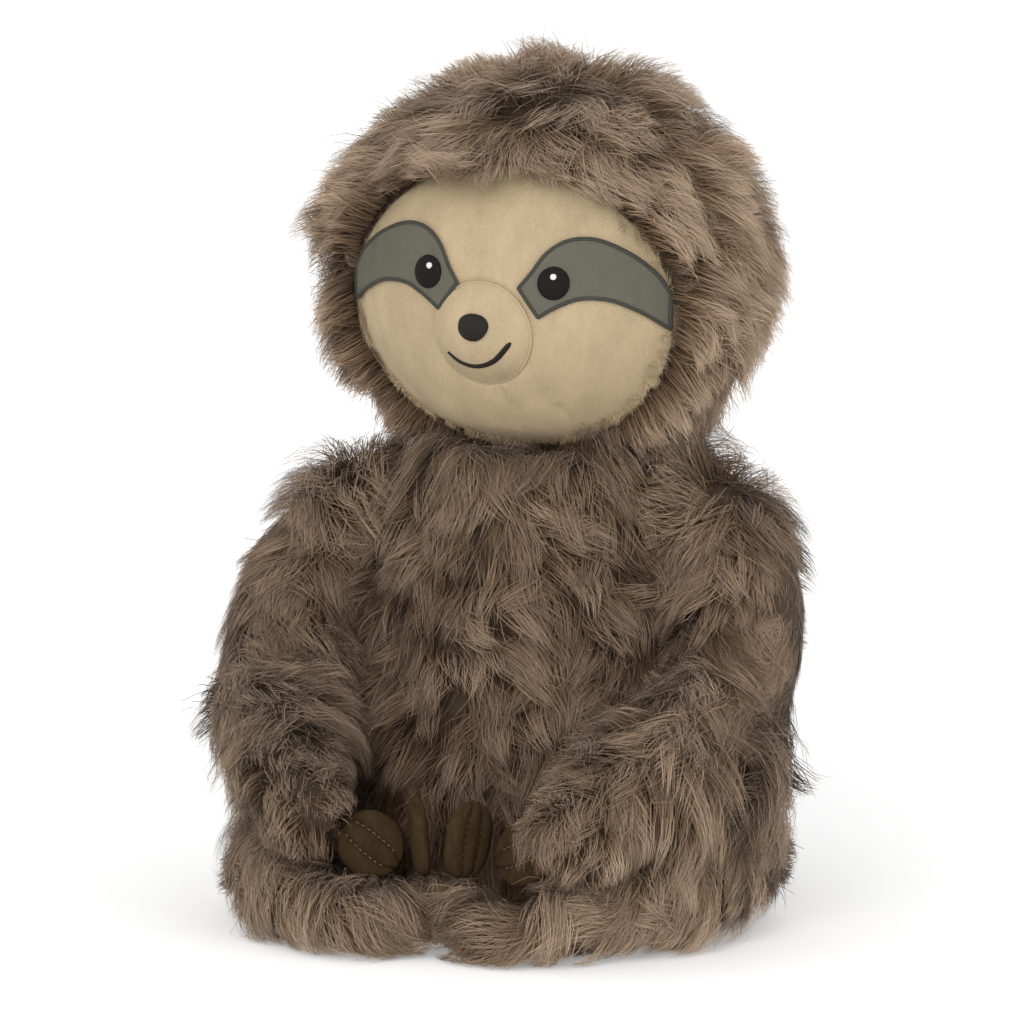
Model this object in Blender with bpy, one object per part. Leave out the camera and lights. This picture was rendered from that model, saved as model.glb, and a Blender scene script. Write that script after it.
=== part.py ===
"""Seated plush sloth: fur covers, stuffing, felt and suede trim, and soft joints.

The covers are modelled at the middle of their pile, and the tips of the fur stand
further out. +Z is up and the face looks along -Y. The toy's own left side lies
at +X.
"""
import math

import bmesh
import bpy
import numpy as np
from mathutils import Matrix, Vector

# Clearances between pieces
SEAT_GAP = 0.0003
FILL_GAP = 0.0008
PANEL_GAP = 0.0005
NECK_GAP = 0.0008

# Torso: a pear with flattened sides for the limbs
TORSO_HEIGHT = 0.177
TORSO_HALF_WIDTH = 0.070
TORSO_HALF_DEPTH = 0.075
TORSO_CENTRE_Y = 0.031
TORSO_LEAN = 0.013
TORSO_SIDE = 0.063
SIDE_FRONT_SHARE = 0.60
TORSO_WALL = 0.008
DISH_WALL = 0.004
POUCH_HEIGHT = 0.030
# Height, half width, half depth and lean as shares of the sizes above
TORSO_SHARES = (
    (0.00, 0.70, 0.72, 0.2),
    (0.05, 0.88, 0.90, 0.1),
    (0.30, 1.00, 1.00, 0.0),
    (0.62, 0.99, 0.90, 0.4),
    (0.87, 0.97, 0.77, 0.9),
    (1.00, 0.84, 0.64, 1.0),
)
TORSO_RING_SHARES = (0.0, 0.02, 0.05, 0.11, 0.19, 0.28, 0.38, 0.48, 0.58, 0.68, 0.78, 0.87,
                     0.94, 1.0)
POUCH_RINGS = 4
FILL_RINGS = 8
DISH_SHARES = (0.80, 0.55, 0.30)
SEAT_SHARES = (0.3, 0.6, 0.85)

# Neck: a ball of stuffing in a round seat on each side of the seam
NECK_RISE = 0.005
NECK_ASIDE = -0.005
NECK_RADIUS = 0.024
HEAD_NOD_DEG = 6.0
HEAD_TIP_BACK_DEG = 3.0
HEAD_LEAN_DEG = 3.0

# Head: the skin under the pile, the pile over it, and how far it sinks past the neck's pivot
SKIN_HALF_WIDTH = 0.075
SKIN_HALF_DEPTH = 0.070
SKIN_HALF_HEIGHT = 0.0665
PILE_SIDE = 0.013
PILE_BACK = 0.011
PILE_TOP = 0.0125
HEAD_LIFT = 0.006
HEAD_SINK = 0.013
HEAD_RINGS = 13
SKIN_RINGS = 7

# Face panel and what is sewn on it, measured across and up from the skin's centre
FACE_INSET_SIDE = 0.0122
FACE_INSET_TOP = 0.0136
FACE_DROP = 0.0085
FACE_CLOTH = 0.0010
FACE_EDGE_GAP = 0.0006
FUR_FLARE = 0.007
MUZZLE_RADIUS = 0.0195
MUZZLE_DROP = 0.0183
MUZZLE_SWELL = 0.0088
MUZZLE_EDGE = 0.0012
MUZZLE_RING_SHARES = (0.3, 0.55, 0.75, 0.9, 0.98, 1.0)
DOME_POWER = 0.6
PATCH_INSET = 0.0028
PATCH_FELT = 0.0011
PATCH_TOP_SHARES = ((0.21, 0.01), (0.365, 0.243), (0.645, 0.347), (0.867, 0.225), (1.0, 0.017))
PATCH_FOOT_SHARES = ((0.34, -0.162), (0.50, -0.067), (0.70, -0.04), (0.983, -0.205))
PATCH_STEPS = 13
PATCH_BANDS = 6
EYE_ACROSS = 0.0253
EYE_UP = 0.0033
EYE_HALF_WIDTH = 0.0059
EYE_HALF_HEIGHT = 0.0063
EYE_SWELL = 0.0016
THREAD_EDGE = 0.0005
GLINT_RADIUS = 0.0012
GLINT_UP = 0.0026
GLINT_SWELL = 0.0005
NOSE_UP = 0.0025
NOSE_HALF_WIDTH = 0.0062
NOSE_HALF_HEIGHT = 0.0053
NOSE_SWELL = 0.0022
NOSE_SQUARE_SHARE = 0.12
STITCH_RING_SHARES = (0.45, 0.8, 1.0)
GLINT_RING_SHARES = (0.6, 1.0)
MOUTH_SWELL = 0.0007
MOUTH_THIN = 0.0005
MOUTH_THICK = 0.0009
MOUTH_STEPS = 15
# Places along the mouth, across and up, as shares of the muzzle's radius
MOUTH_SHARES = ((-0.60, -0.42), (-0.33, -0.56), (0.0, -0.60), (0.37, -0.47), (0.70, -0.13))

# Arms: stuffed tubes that hang from the shoulder seams and rest over the legs
ARM_WALL = 0.007
ARM_RINGS = 15
SHOULDER_Y = 0.030
SHOULDER_DROP = 0.028
SHOULDER_RADIUS = 0.0225
UPPER_ARM_RADIUS = 0.0260
ELBOW_OUT = 0.092
ELBOW_Y = -0.010
ELBOW_Z = 0.090
ELBOW_RADIUS = 0.0245
WRIST_OUT = 0.0450
WRIST_Y = -0.079
WRIST_Z = 0.0480
WRIST_RADIUS = 0.0155
LEFT_REACH_Y = -0.004
LEFT_REACH_Z = -0.003
# Out, back, down and thickness, from the shoulder to the elbow
UPPER_ARM_SHARES = ((0.0, 0.0, 0.0, 0.0), (0.46, 0.05, 0.07, 0.5), (0.95, 0.42, 0.50, 1.0))
# Out, back, up and thickness, from the wrist to the elbow
FOREARM_SHARES = (
    (1.00, 1.00, 1.00, 1.00),
    (0.82, 0.60, 0.62, 0.88),
    (0.46, 0.20, 0.34, 0.50),
    (0.19, -0.01, 0.10, 0.28),
    (0.00, 0.00, 0.00, 0.00),
)

# Legs: stuffed tubes that curl round in front, soles together
LEG_WALL = 0.0065
LEG_RINGS = 17
HIP_Y = 0.020
HIP_RADIUS = 0.0285
KNEE_OUT = 0.0795
KNEE_Y = -0.020
KNEE_RADIUS = 0.0250
ANKLE_OUT = 0.0100
ANKLE_Y = -0.081
ANKLE_Z = 0.0255
ANKLE_RADIUS = 0.0084
INSTEP_OUT = 0.030
INSTEP_Y = -0.094
INSTEP_RADIUS = 0.0112
FLOOR_PRESS = 0.0005
CUFF_ROUND = 0.0025
CORE_RADIUS = 0.0013
BEND_PASSES = 3
# Out, forward and thickness, from the hip to the knee
THIGH_SHARES = ((0.0, 0.0, 0.0), (0.66, 0.14, 0.1), (1.0, 1.0, 1.0))
# Out, back and thickness, from the instep to the knee
SHIN_SHARES = ((0.86, 0.58, 0.66), (0.48, 0.20, 0.28), (0.0, 0.0, 0.0))
# In, back, up and thickness, from the instep to the ankle
ANKLE_SHARES = ((0.62, 0.25, 0.10, 0.45), (1.0, 0.90, 0.52, 0.80), (1.0, 1.0, 1.0, 1.0))

# Paws: quilted suede paddles of three claws each
CLAW_THICK = 0.0066
CLAW_EDGE = 0.0013
HAND_LENGTH = 0.0262
HAND_WIDTH = 0.0245
FOOT_LENGTH = 0.0300
FOOT_WIDTH = 0.0230
FOOT_TURN_DEG = 65.0
FOOT_INWARD = 0.0026
HAND_FACE_UP_DEG = 22.0
HAND_DROOP_DEG = {"left": 0.0, "right": 18.0}
CLAW_COUNT = 3
GROOVE_SHARE = 0.36
SCALLOP_SHARE = 0.05
TIP_ROUND_SHARE = 0.22
CLAW_WIDTH_SHARES = ((0.66,), (0.92,), (1.0,), (0.95,), (0.74,))
CLAW_STEPS = 8
CLAW_SIDE_POWER = 4
CLAW_END_POWER = 6

# Facets
SHARP_DEG = 50.0
HEAD_SIDES = 36
TORSO_SIDES = 32
LIMB_SIDES = 14
MUZZLE_SIDES = 28
SMALL_SIDES = 18
GLINT_SIDES = 10
NECK_SIDES = 24
FACE_SHARES = (0.22, 0.44, 0.65, 0.84, 1.0)

FUR_BROWN = (0.105, 0.072, 0.047)
VELBOA_CREAM = (0.521, 0.418, 0.278)
FELT_GREY = (0.162, 0.156, 0.122)
THREAD_DARK = (0.013, 0.012, 0.010)
THREAD_NOSE = (0.038, 0.033, 0.029)
THREAD_WHITE = (0.80, 0.80, 0.78)
SUEDE_BROWN = (0.058, 0.035, 0.017)
STUFFING = (0.82, 0.82, 0.80)
POUCH_CLOTH = (0.55, 0.53, 0.48)

NECK_HEIGHT = TORSO_HEIGHT + NECK_RISE
NECK = Vector((NECK_ASIDE, TORSO_CENTRE_Y + TORSO_LEAN, NECK_HEIGHT))
SHOULDER_Z = TORSO_HEIGHT - SHOULDER_DROP
HEAD_HALF_WIDTH = SKIN_HALF_WIDTH + PILE_SIDE
HEAD_HALF_DEPTH = SKIN_HALF_DEPTH + PILE_BACK
HEAD_HALF_HEIGHT = SKIN_HALF_HEIGHT + PILE_TOP
SKIN_CENTRE_HEIGHT = NECK_HEIGHT + HEAD_HALF_HEIGHT - HEAD_LIFT - HEAD_SINK
FACE_HALF_WIDTH = SKIN_HALF_WIDTH - FACE_INSET_SIDE
FACE_HALF_HEIGHT = SKIN_HALF_HEIGHT - FACE_INSET_TOP
PATCH_REACH = FACE_HALF_WIDTH - PATCH_INSET
MUZZLE_V = -MUZZLE_DROP
FACE_V = -FACE_DROP
SKIN = np.array((SKIN_HALF_WIDTH, SKIN_HALF_DEPTH, SKIN_HALF_HEIGHT))
HEAD = np.array((HEAD_HALF_WIDTH, HEAD_HALF_DEPTH, HEAD_HALF_HEIGHT))
HEAD_CENTRE = np.array((0.0, 0.0, HEAD_LIFT))
PANEL_TOP = PANEL_GAP + FACE_CLOTH
PATCH_FOOT = PANEL_TOP + SEAT_GAP
PATCH_TOP = PATCH_FOOT + PATCH_FELT
NECK_SEAT = NECK_RADIUS + NECK_GAP
SIDE_FRONT_Y = TORSO_CENTRE_Y - SIDE_FRONT_SHARE * TORSO_HALF_DEPTH


def clear_scene():
    """Remove every object of the open scene."""
    for item in list(bpy.data.objects):
        bpy.data.objects.remove(item, do_unlink=True)


def make_material(name, colour, roughness):
    """Plain cloth material of one colour."""
    material = bpy.data.materials.new(name)
    material.use_nodes = True
    shader = material.node_tree.nodes["Principled BSDF"]
    shader.inputs["Base Color"].default_value = (*colour, 1.0)
    shader.inputs["Roughness"].default_value = roughness
    shader.inputs["Metallic"].default_value = 0.0
    material.diffuse_color = (*colour, 1.0)
    return material


def add_pivot(name, place):
    """Empty on a joint's axis, which carries the pieces that turn there."""
    pivot = bpy.data.objects.new(name, None)
    pivot.location = place
    bpy.context.collection.objects.link(pivot)
    return pivot


def add_piece(name, points, faces, material, pivot=None):
    """Closed piece from world points, with its origin on its pivot."""
    mesh = bpy.data.meshes.new(name)
    origin = np.array(pivot.location if pivot else (0.0, 0.0, 0.0))
    mesh.from_pydata((np.asarray(points) - origin).tolist(), [], faces)
    work = bmesh.new()
    work.from_mesh(mesh)
    bmesh.ops.recalc_face_normals(work, faces=work.faces)
    work.to_mesh(mesh)
    work.free()
    mesh.materials.append(material)
    mesh.shade_smooth()
    mesh.set_sharp_from_angle(angle=math.radians(SHARP_DEG))
    piece = bpy.data.objects.new(name, mesh)
    bpy.context.collection.objects.link(piece)
    piece.parent = pivot
    return piece


def loft(rings, first, last):
    """Points and faces of a closed skin: a fan, bands between rings, and a fan."""
    rings = np.asarray(rings)
    count, sides = rings.shape[:2]
    points = np.vstack([np.asarray(first)[None], rings.reshape(-1, 3), np.asarray(last)[None]])
    faces = []
    end = len(points) - 1
    for side in range(sides):
        turn = (side + 1) % sides
        faces.append((0, 1 + turn, 1 + side))
        for ring in range(count - 1):
            low = 1 + ring * sides
            high = low + sides
            faces.append((low + side, low + turn, high + turn, high + side))
        low = 1 + (count - 1) * sides
        faces.append((low + side, low + turn, end))
    return points, faces


def slab(top, foot):
    """Points and faces of a closed sheet: two grids joined round their border."""
    rows, columns = top.shape[:2]
    size = rows * columns
    points = np.vstack([top.reshape(-1, 3), foot.reshape(-1, 3)])
    index = np.arange(size).reshape(rows, columns)
    faces = []
    for row in range(rows - 1):
        for column in range(columns - 1):
            quad = (index[row, column], index[row, column + 1],
                    index[row + 1, column + 1], index[row + 1, column])
            faces.append(tuple(int(corner) for corner in quad))
            faces.append(tuple(int(corner) + size for corner in reversed(quad)))
    border = [*index[0, :-1], *index[:-1, -1], *index[-1, :0:-1], *index[:0:-1, 0]]
    for here, there in zip(border, border[1:] + border[:1]):
        faces.append((int(there), int(here), int(here) + size, int(there) + size))
    return points, faces


def flow(rows, count):
    """Smooth run of rows through the given rows, as a Catmull-Rom curve."""
    rows = np.asarray(rows, dtype=float)
    rows = np.vstack([2 * rows[0] - rows[1], rows, 2 * rows[-1] - rows[-2]])
    place = np.linspace(0.0, len(rows) - 3, count)
    start = np.minimum(place.astype(int), len(rows) - 4)
    share = (place - start)[:, None]
    before, here, there, after = (rows[start + step] for step in range(4))
    bend = 2 * before - 5 * here + 4 * there - after
    twist = 3 * (here - there) + after - before
    return here + 0.5 * share * (there - before + share * (bend + share * twist))


def angles(sides):
    """Angles of the points of a ring."""
    return np.arange(sides) * 2.0 * math.pi / sides


def head_to_world(points):
    """Places in the head's own frame, tipped as the head rests on the neck."""
    neck = np.array(NECK)
    lifted = np.asarray(points) + np.array((0.0, 0.0, SKIN_CENTRE_HEIGHT - NECK_HEIGHT))
    tip = Matrix.Rotation(-math.radians(HEAD_TIP_BACK_DEG), 3, "X")
    lean = Matrix.Rotation(math.radians(HEAD_LEAN_DEG), 3, "Y")
    return lifted @ np.array(lean @ tip).T + neck


def skin_point(across, up, height):
    """Point over the front of the skin, raised by height along its normal."""
    across, up = np.broadcast_arrays(np.asarray(across, float), np.asarray(up, float))
    rest = np.clip(1.0 - (across / SKIN[0]) ** 2 - (up / SKIN[2]) ** 2, 0.0, None)
    point = np.stack([across, -SKIN[1] * np.sqrt(rest), up], axis=-1)
    normal = point / SKIN ** 2
    normal /= np.linalg.norm(normal, axis=-1, keepdims=True)
    return point + normal * np.asarray(height)[..., None]


def face_ring(share, margin):
    """Across and up on the face's outline, drawn in by a share, out by a margin."""
    turn = angles(HEAD_SIDES)
    across = share * (FACE_HALF_WIDTH + margin) * np.cos(turn)
    return across, FACE_V + share * (FACE_HALF_HEIGHT + margin) * np.sin(turn)


def back_rings(rim, centre, radii, count):
    """Rings on an ellipsoid, from the face's rim round to the pole at the back."""
    start = (rim - centre) / np.linalg.norm(rim - centre, axis=1, keepdims=True)
    pole = np.array((0.0, 1.0, 0.0))
    sweep = np.arccos(np.clip(start @ pole, -1.0, 1.0))[:, None]
    rings = []
    for share in np.linspace(0.0, 1.0, count + 1)[:-1]:
        ray = np.sin((1 - share) * sweep) * start + np.sin(share * sweep) * pole
        ray /= np.linalg.norm(ray, axis=1, keepdims=True)
        rings.append(centre + ray / np.linalg.norm(ray / radii, axis=1, keepdims=True))
    return rings, centre + pole * radii[1]


def seat_neck(piece, cutter):
    """Cut the round seat of the neck's ball out of a piece of the head."""
    cut = piece.modifiers.new("neck_seat", "BOOLEAN")
    cut.operation = "DIFFERENCE"
    cut.solver = "EXACT"
    cut.object = cutter


def make_ball(radius, sides):
    """Rings and poles of a ball round the neck's pivot."""
    turn = angles(sides)
    rings = []
    for tilt in np.linspace(0.0, math.pi, sides // 2 + 1)[1:-1]:
        ring = np.stack([math.sin(tilt) * np.cos(turn), math.sin(tilt) * np.sin(turn),
                         np.full(sides, -math.cos(tilt))], axis=1)
        rings.append(np.array(NECK) + radius * ring)
    drop = np.array((0.0, 0.0, radius))
    return loft(rings, np.array(NECK) - drop, np.array(NECK) + drop)


def build_head(neck, materials):
    """Fur cover with the face's opening, stuffing, and the round neck seats."""
    backing = SKIN + PANEL_GAP
    inner_rim = skin_point(*face_ring(1.0, FACE_EDGE_GAP), PANEL_GAP)
    across, up = face_ring(1.0, FUR_FLARE)
    rest = 1.0 - (across / HEAD[0]) ** 2 - ((up - HEAD_LIFT) / HEAD[2]) ** 2
    outer_rim = np.stack([across, -HEAD[1] * np.sqrt(rest), up], axis=1)
    outside, outside_pole = back_rings(outer_rim, HEAD_CENTRE, HEAD, HEAD_RINGS)
    inside, inside_pole = back_rings(inner_rim, np.zeros(3), backing, SKIN_RINGS)
    rings = outside[::-1] + inside
    points, faces = loft([head_to_world(ring) for ring in rings],
                         head_to_world(outside_pole), head_to_world(inside_pole))
    cover = add_piece("head_cover", points, faces, materials["fur"], neck)

    rim = skin_point(*face_ring(1.0, 0.0), 0.0)
    back, pole = back_rings(rim, np.zeros(3), SKIN, SKIN_RINGS)
    front = [skin_point(*face_ring(share, 0.0), 0.0) for share in FACE_SHARES[:-1]]
    points, faces = loft([head_to_world(ring) for ring in front + back],
                         head_to_world(skin_point(0.0, FACE_V, 0.0)), head_to_world(pole))
    fill = add_piece("head_fill", points, faces, materials["stuffing"], neck)

    points, faces = make_ball(NECK_SEAT, NECK_SIDES)
    cutter = add_piece("neck_seat_cutter", points, faces, materials["stuffing"], neck)
    cutter.hide_render = True
    cutter.display_type = "WIRE"
    seat_neck(cover, cutter)
    seat_neck(fill, cutter)


def disc(name, outline, low, high, shares, material, pivot):
    """Sewn-on piece over the face: rings of an outline between two heights.

    outline takes a share and gives across and up; low and high take across and up
    and give the height over the skin.
    """
    centre = outline(0.0)
    top = [(outline(share), high) for share in shares]
    foot = [(outline(share), low) for share in reversed(shares)]
    rings = [skin_point(*place, height(*place)) for place, height in top + foot]
    across, up = centre[0][0], centre[1][0]
    first = skin_point(across, up, high(across, up))
    last = skin_point(across, up, low(across, up))
    points, faces = loft([head_to_world(ring) for ring in rings],
                         head_to_world(first), head_to_world(last))
    return add_piece(name, points, faces, material, pivot)


def oval(across, up, half_width, half_height, sides, square=0.0):
    """Outline function of an oval, squared towards its top by a share."""
    turn = angles(sides)
    wide = half_width * (1.0 + square * np.sin(turn)) * np.cos(turn)
    return lambda share: (across + share * wide, up + share * half_height * np.sin(turn))


def dome(across, up, half_width, half_height, low, edge, swell):
    """Height function of a dome over an oval, above the height function low."""
    def height(place_across, place_up):
        reach = ((place_across - across) / half_width) ** 2 + ((place_up - up) / half_height) ** 2
        return low(place_across, place_up) + edge + swell * np.clip(1.0 - reach, 0.0, 1.0) ** DOME_POWER
    return height


def level(height):
    """Height function that is the same everywhere."""
    return lambda across, up: np.full(np.shape(across), height)


def raised(top):
    """Height function a seat's gap above another."""
    return lambda across, up: top(across, up) + SEAT_GAP


def build_patch(side, name, material, pivot):
    """Felt patch that sweeps from beside the muzzle, round the eye, to the fur."""
    top = flow(PATCH_TOP_SHARES, PATCH_STEPS) * PATCH_REACH
    foot = flow(PATCH_FOOT_SHARES, PATCH_STEPS) * PATCH_REACH
    across_share = np.linspace(0.0, 1.0, PATCH_BANDS)[None, :, None]
    plan = top[:, None] + (foot - top)[:, None] * across_share
    upper = skin_point(side * plan[..., 0], plan[..., 1], np.full(plan.shape[:2], PATCH_TOP))
    lower = skin_point(side * plan[..., 0], plan[..., 1], np.full(plan.shape[:2], PATCH_FOOT))
    points, faces = slab(head_to_world(upper), head_to_world(lower))
    add_piece(name, points, faces, material, pivot)


def build_mouth(muzzle_top, material, pivot):
    """Padded satin stitch that runs in a lopsided smile over the muzzle."""
    line = flow(MOUTH_SHARES, MOUTH_STEPS) * MUZZLE_RADIUS
    line[:, 1] += MUZZLE_V
    along = np.gradient(line, axis=0)
    side = np.stack([-along[:, 1], along[:, 0]], axis=1) / np.linalg.norm(along, axis=1)[:, None]
    half = np.linspace(MOUTH_THIN, MOUTH_THICK, len(line))[:, None, None]
    step = np.array((-1.0, 0.0, 1.0))[None, :, None]
    plan = line[:, None] + side[:, None] * half * step
    across, up = plan[..., 0], plan[..., 1]
    low = muzzle_top(across, up) + SEAT_GAP
    crown = THREAD_EDGE + MOUTH_SWELL * (1.0 - np.abs(step[..., 0]))
    points, faces = slab(head_to_world(skin_point(across, up, low + crown)),
                         head_to_world(skin_point(across, up, low)))
    add_piece("mouth", points, faces, material, pivot)


def build_face(neck, materials):
    """Velboa panel, padded muzzle, felt patches and embroidered features."""
    disc("face_panel", lambda share: face_ring(share, 0.0), level(PANEL_GAP),
         level(PANEL_TOP), FACE_SHARES, materials["velboa"], neck)

    muzzle_seat = level(PANEL_TOP + SEAT_GAP)
    muzzle = oval(0.0, MUZZLE_V, MUZZLE_RADIUS, MUZZLE_RADIUS, MUZZLE_SIDES)
    muzzle_top = dome(0.0, MUZZLE_V, MUZZLE_RADIUS, MUZZLE_RADIUS, muzzle_seat,
                      MUZZLE_EDGE, MUZZLE_SWELL)
    disc("muzzle_pad", muzzle, muzzle_seat, muzzle_top,
         MUZZLE_RING_SHARES, materials["velboa"], neck)

    nose_up = MUZZLE_V + NOSE_UP
    nose_seat = raised(muzzle_top)
    nose_top = dome(0.0, nose_up, NOSE_HALF_WIDTH, NOSE_HALF_HEIGHT, nose_seat,
                    THREAD_EDGE, NOSE_SWELL)
    nose = oval(0.0, nose_up, NOSE_HALF_WIDTH, NOSE_HALF_HEIGHT, SMALL_SIDES, NOSE_SQUARE_SHARE)
    disc("nose", nose, nose_seat, nose_top, STITCH_RING_SHARES, materials["nose"], neck)
    build_mouth(muzzle_top, materials["nose"], neck)

    eye_seat = level(PATCH_TOP + SEAT_GAP)
    for side, word in ((1, "left"), (-1, "right")):
        build_patch(side, f"eye_patch_{word}", materials["felt"], neck)
        across = side * EYE_ACROSS
        eye_top = dome(across, EYE_UP, EYE_HALF_WIDTH, EYE_HALF_HEIGHT, eye_seat,
                       THREAD_EDGE, EYE_SWELL)
        disc(f"eye_{word}", oval(across, EYE_UP, EYE_HALF_WIDTH, EYE_HALF_HEIGHT, SMALL_SIDES),
             eye_seat, eye_top, STITCH_RING_SHARES, materials["eye"], neck)
        glint_up = EYE_UP + GLINT_UP
        glint_seat = raised(eye_top)
        glint_top = dome(across, glint_up, GLINT_RADIUS, GLINT_RADIUS, glint_seat,
                         THREAD_EDGE, GLINT_SWELL)
        disc(f"eye_glint_{word}", oval(across, glint_up, GLINT_RADIUS, GLINT_RADIUS, GLINT_SIDES),
             glint_seat, glint_top, GLINT_RING_SHARES, materials["glint"], neck)


def head_clearance(reach):
    """Height that the head's underside stays above, at a reach from the neck's axis.

    The underside is an arc of the head's ellipse. It is turned down about the neck
    by the nod and by the way the head rests.
    """
    steps = np.linspace(0.0, HEAD_HALF_WIDTH, 60)[:-1]
    drop = HEAD_HALF_HEIGHT * np.sqrt(1.0 - (steps / HEAD_HALF_WIDTH) ** 2)
    under = SKIN_CENTRE_HEIGHT + HEAD_LIFT - drop - NECK_HEIGHT
    tip = math.radians(HEAD_NOD_DEG + math.hypot(HEAD_TIP_BACK_DEG, HEAD_LEAN_DEG))
    turned = steps * math.cos(tip) + under * math.sin(tip)
    height = NECK_HEIGHT + under * math.cos(tip) - steps * math.sin(tip)
    return np.interp(reach, turned, height)


def torso_row(height, inset):
    """Half width, half depth and centre of the torso at a height, drawn in."""
    rows = flow(TORSO_SHARES, 81)
    share = np.interp(height / TORSO_HEIGHT, rows[:, 0], np.arange(len(rows)))
    width, depth, lean = (np.interp(share, np.arange(len(rows)), rows[:, column])
                          for column in (1, 2, 3))
    centre = TORSO_CENTRE_Y + TORSO_LEAN * lean
    return TORSO_HALF_WIDTH * width - inset, TORSO_HALF_DEPTH * depth - inset, centre


def torso_ring(height, inset, press=0.0):
    """Level ring of the torso, pressed flat at its sides and under the head."""
    width, depth, centre = torso_row(height, inset)
    turn = angles(TORSO_SIDES)
    side = TORSO_SIDE - inset - press
    across = np.clip(width * np.cos(turn), -side, side)
    place = centre + depth * np.sin(turn)
    ceiling = head_clearance(np.hypot(across - NECK.x, place - NECK.y)) - NECK_GAP - inset
    return np.stack([across, place, np.minimum(ceiling, height)], axis=1)


def collar_ring(reach, height):
    """Round ring about the neck's axis."""
    turn = angles(TORSO_SIDES)
    return np.stack([NECK.x + reach * np.cos(turn), NECK.y + reach * np.sin(turn),
                     np.full(len(turn), height)], axis=1)


def seat_reach(height):
    """Radius of the neck's round seat at a height below the pivot."""
    return math.sqrt(NECK_SEAT ** 2 - (NECK_HEIGHT - height) ** 2)


def dish_rings(drop, edge):
    """Rings of the dish under the head, from the shoulders in to the neck's seat."""
    rings = []
    for share in DISH_SHARES:
        reach = NECK_SEAT + (edge - NECK_SEAT) * share
        height = float(head_clearance(reach)) - NECK_GAP - drop
        rings.append(collar_ring(reach, height))
    lip = float(head_clearance(NECK_SEAT)) - NECK_GAP - drop
    rings.append(collar_ring(seat_reach(lip), lip))
    return rings


def build_torso(materials):
    """Pear-shaped cover open at the neck, its stuffing, and the pellet pouch."""
    top_edge = TORSO_HALF_DEPTH * TORSO_SHARES[-1][2]
    outside = [torso_ring(TORSO_HEIGHT * share, 0.0) for share in TORSO_RING_SHARES]
    outside += dish_rings(0.0, top_edge)
    inner_top = TORSO_HEIGHT - TORSO_WALL
    low_heights = np.linspace(TORSO_WALL, POUCH_HEIGHT, POUCH_RINGS)
    inner_heights = np.append(low_heights, np.linspace(POUCH_HEIGHT, inner_top, FILL_RINGS)[1:])
    inside = [torso_ring(height, TORSO_WALL) for height in inner_heights]
    inside += dish_rings(DISH_WALL, top_edge - TORSO_WALL)
    centre = torso_row(0.0, 0.0)[2]
    points, faces = loft(inside + outside[::-1], (0.0, centre, TORSO_WALL), (0.0, centre, 0.0))
    add_piece("torso_cover", points, faces, materials["fur"])

    inset = TORSO_WALL + FILL_GAP
    rings = [torso_ring(height, inset, FILL_GAP) for height in (inset, *low_heights[1:])]
    middle = torso_row(POUCH_HEIGHT, inset)[2]
    points, faces = loft(rings, (0.0, centre, inset), (0.0, middle, POUCH_HEIGHT))
    add_piece("pellet_pouch", points, faces, materials["pouch"])

    low = POUCH_HEIGHT + SEAT_GAP
    fill_heights = np.append(low, inner_heights[len(low_heights):])
    fill_heights[-1] -= 2.0 * FILL_GAP
    rings = [torso_ring(height, inset, FILL_GAP) for height in fill_heights]
    rings += dish_rings(DISH_WALL + FILL_GAP, top_edge - inset)
    lip = rings[-1][0, 2]
    bottom = NECK_HEIGHT - NECK_SEAT
    for share in SEAT_SHARES:
        height = lip + (bottom - lip) * share
        rings.append(collar_ring(seat_reach(height), height))
    points, faces = loft(rings, (0.0, middle, low), (NECK.x, NECK.y, bottom))
    add_piece("torso_fill", points, faces, materials["stuffing"])


def limb_rings(path, inset, press):
    """Rings across a limb's path, with its root ring on the seam's plane.

    path has a row of place and radius for each ring. The rings turn with the path,
    more slowly where it bends hard, so that no two of them cross. Points are pressed
    flat at the floor, and at a distance from the seam's plane as far forward as the
    torso's flat side goes.
    """
    plane = TORSO_SIDE + SEAT_GAP
    along = np.gradient(path[:, :3], axis=0)
    along /= np.linalg.norm(along, axis=1, keepdims=True)
    along[0] = (1.0, 0.0, 0.0)
    for _ in range(BEND_PASSES):
        along[1:-1] += 0.5 * (along[:-2] + along[2:])
        along /= np.linalg.norm(along, axis=1, keepdims=True)
    first = np.array((0.0, 0.0, 1.0))
    turn = angles(LIMB_SIDES)[:, None]
    rings = []
    for place, direction in zip(path, along):
        first = first - direction * (first @ direction)
        first /= np.linalg.norm(first)
        second = np.cross(direction, first)
        radius = max(place[3] - inset, CORE_RADIUS)
        ring = place[:3] + radius * (np.cos(turn) * first + np.sin(turn) * second)
        ahead = np.maximum(SIDE_FRONT_Y - ring[:, 1], 0.0)
        ring[:, 0] = np.maximum(ring[:, 0], plane + press - ahead)
        ring[:, 2] = np.maximum(ring[:, 2], inset)
        rings.append(ring)
    rings[0][:, 0] = plane
    return rings, along[-1]


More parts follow.
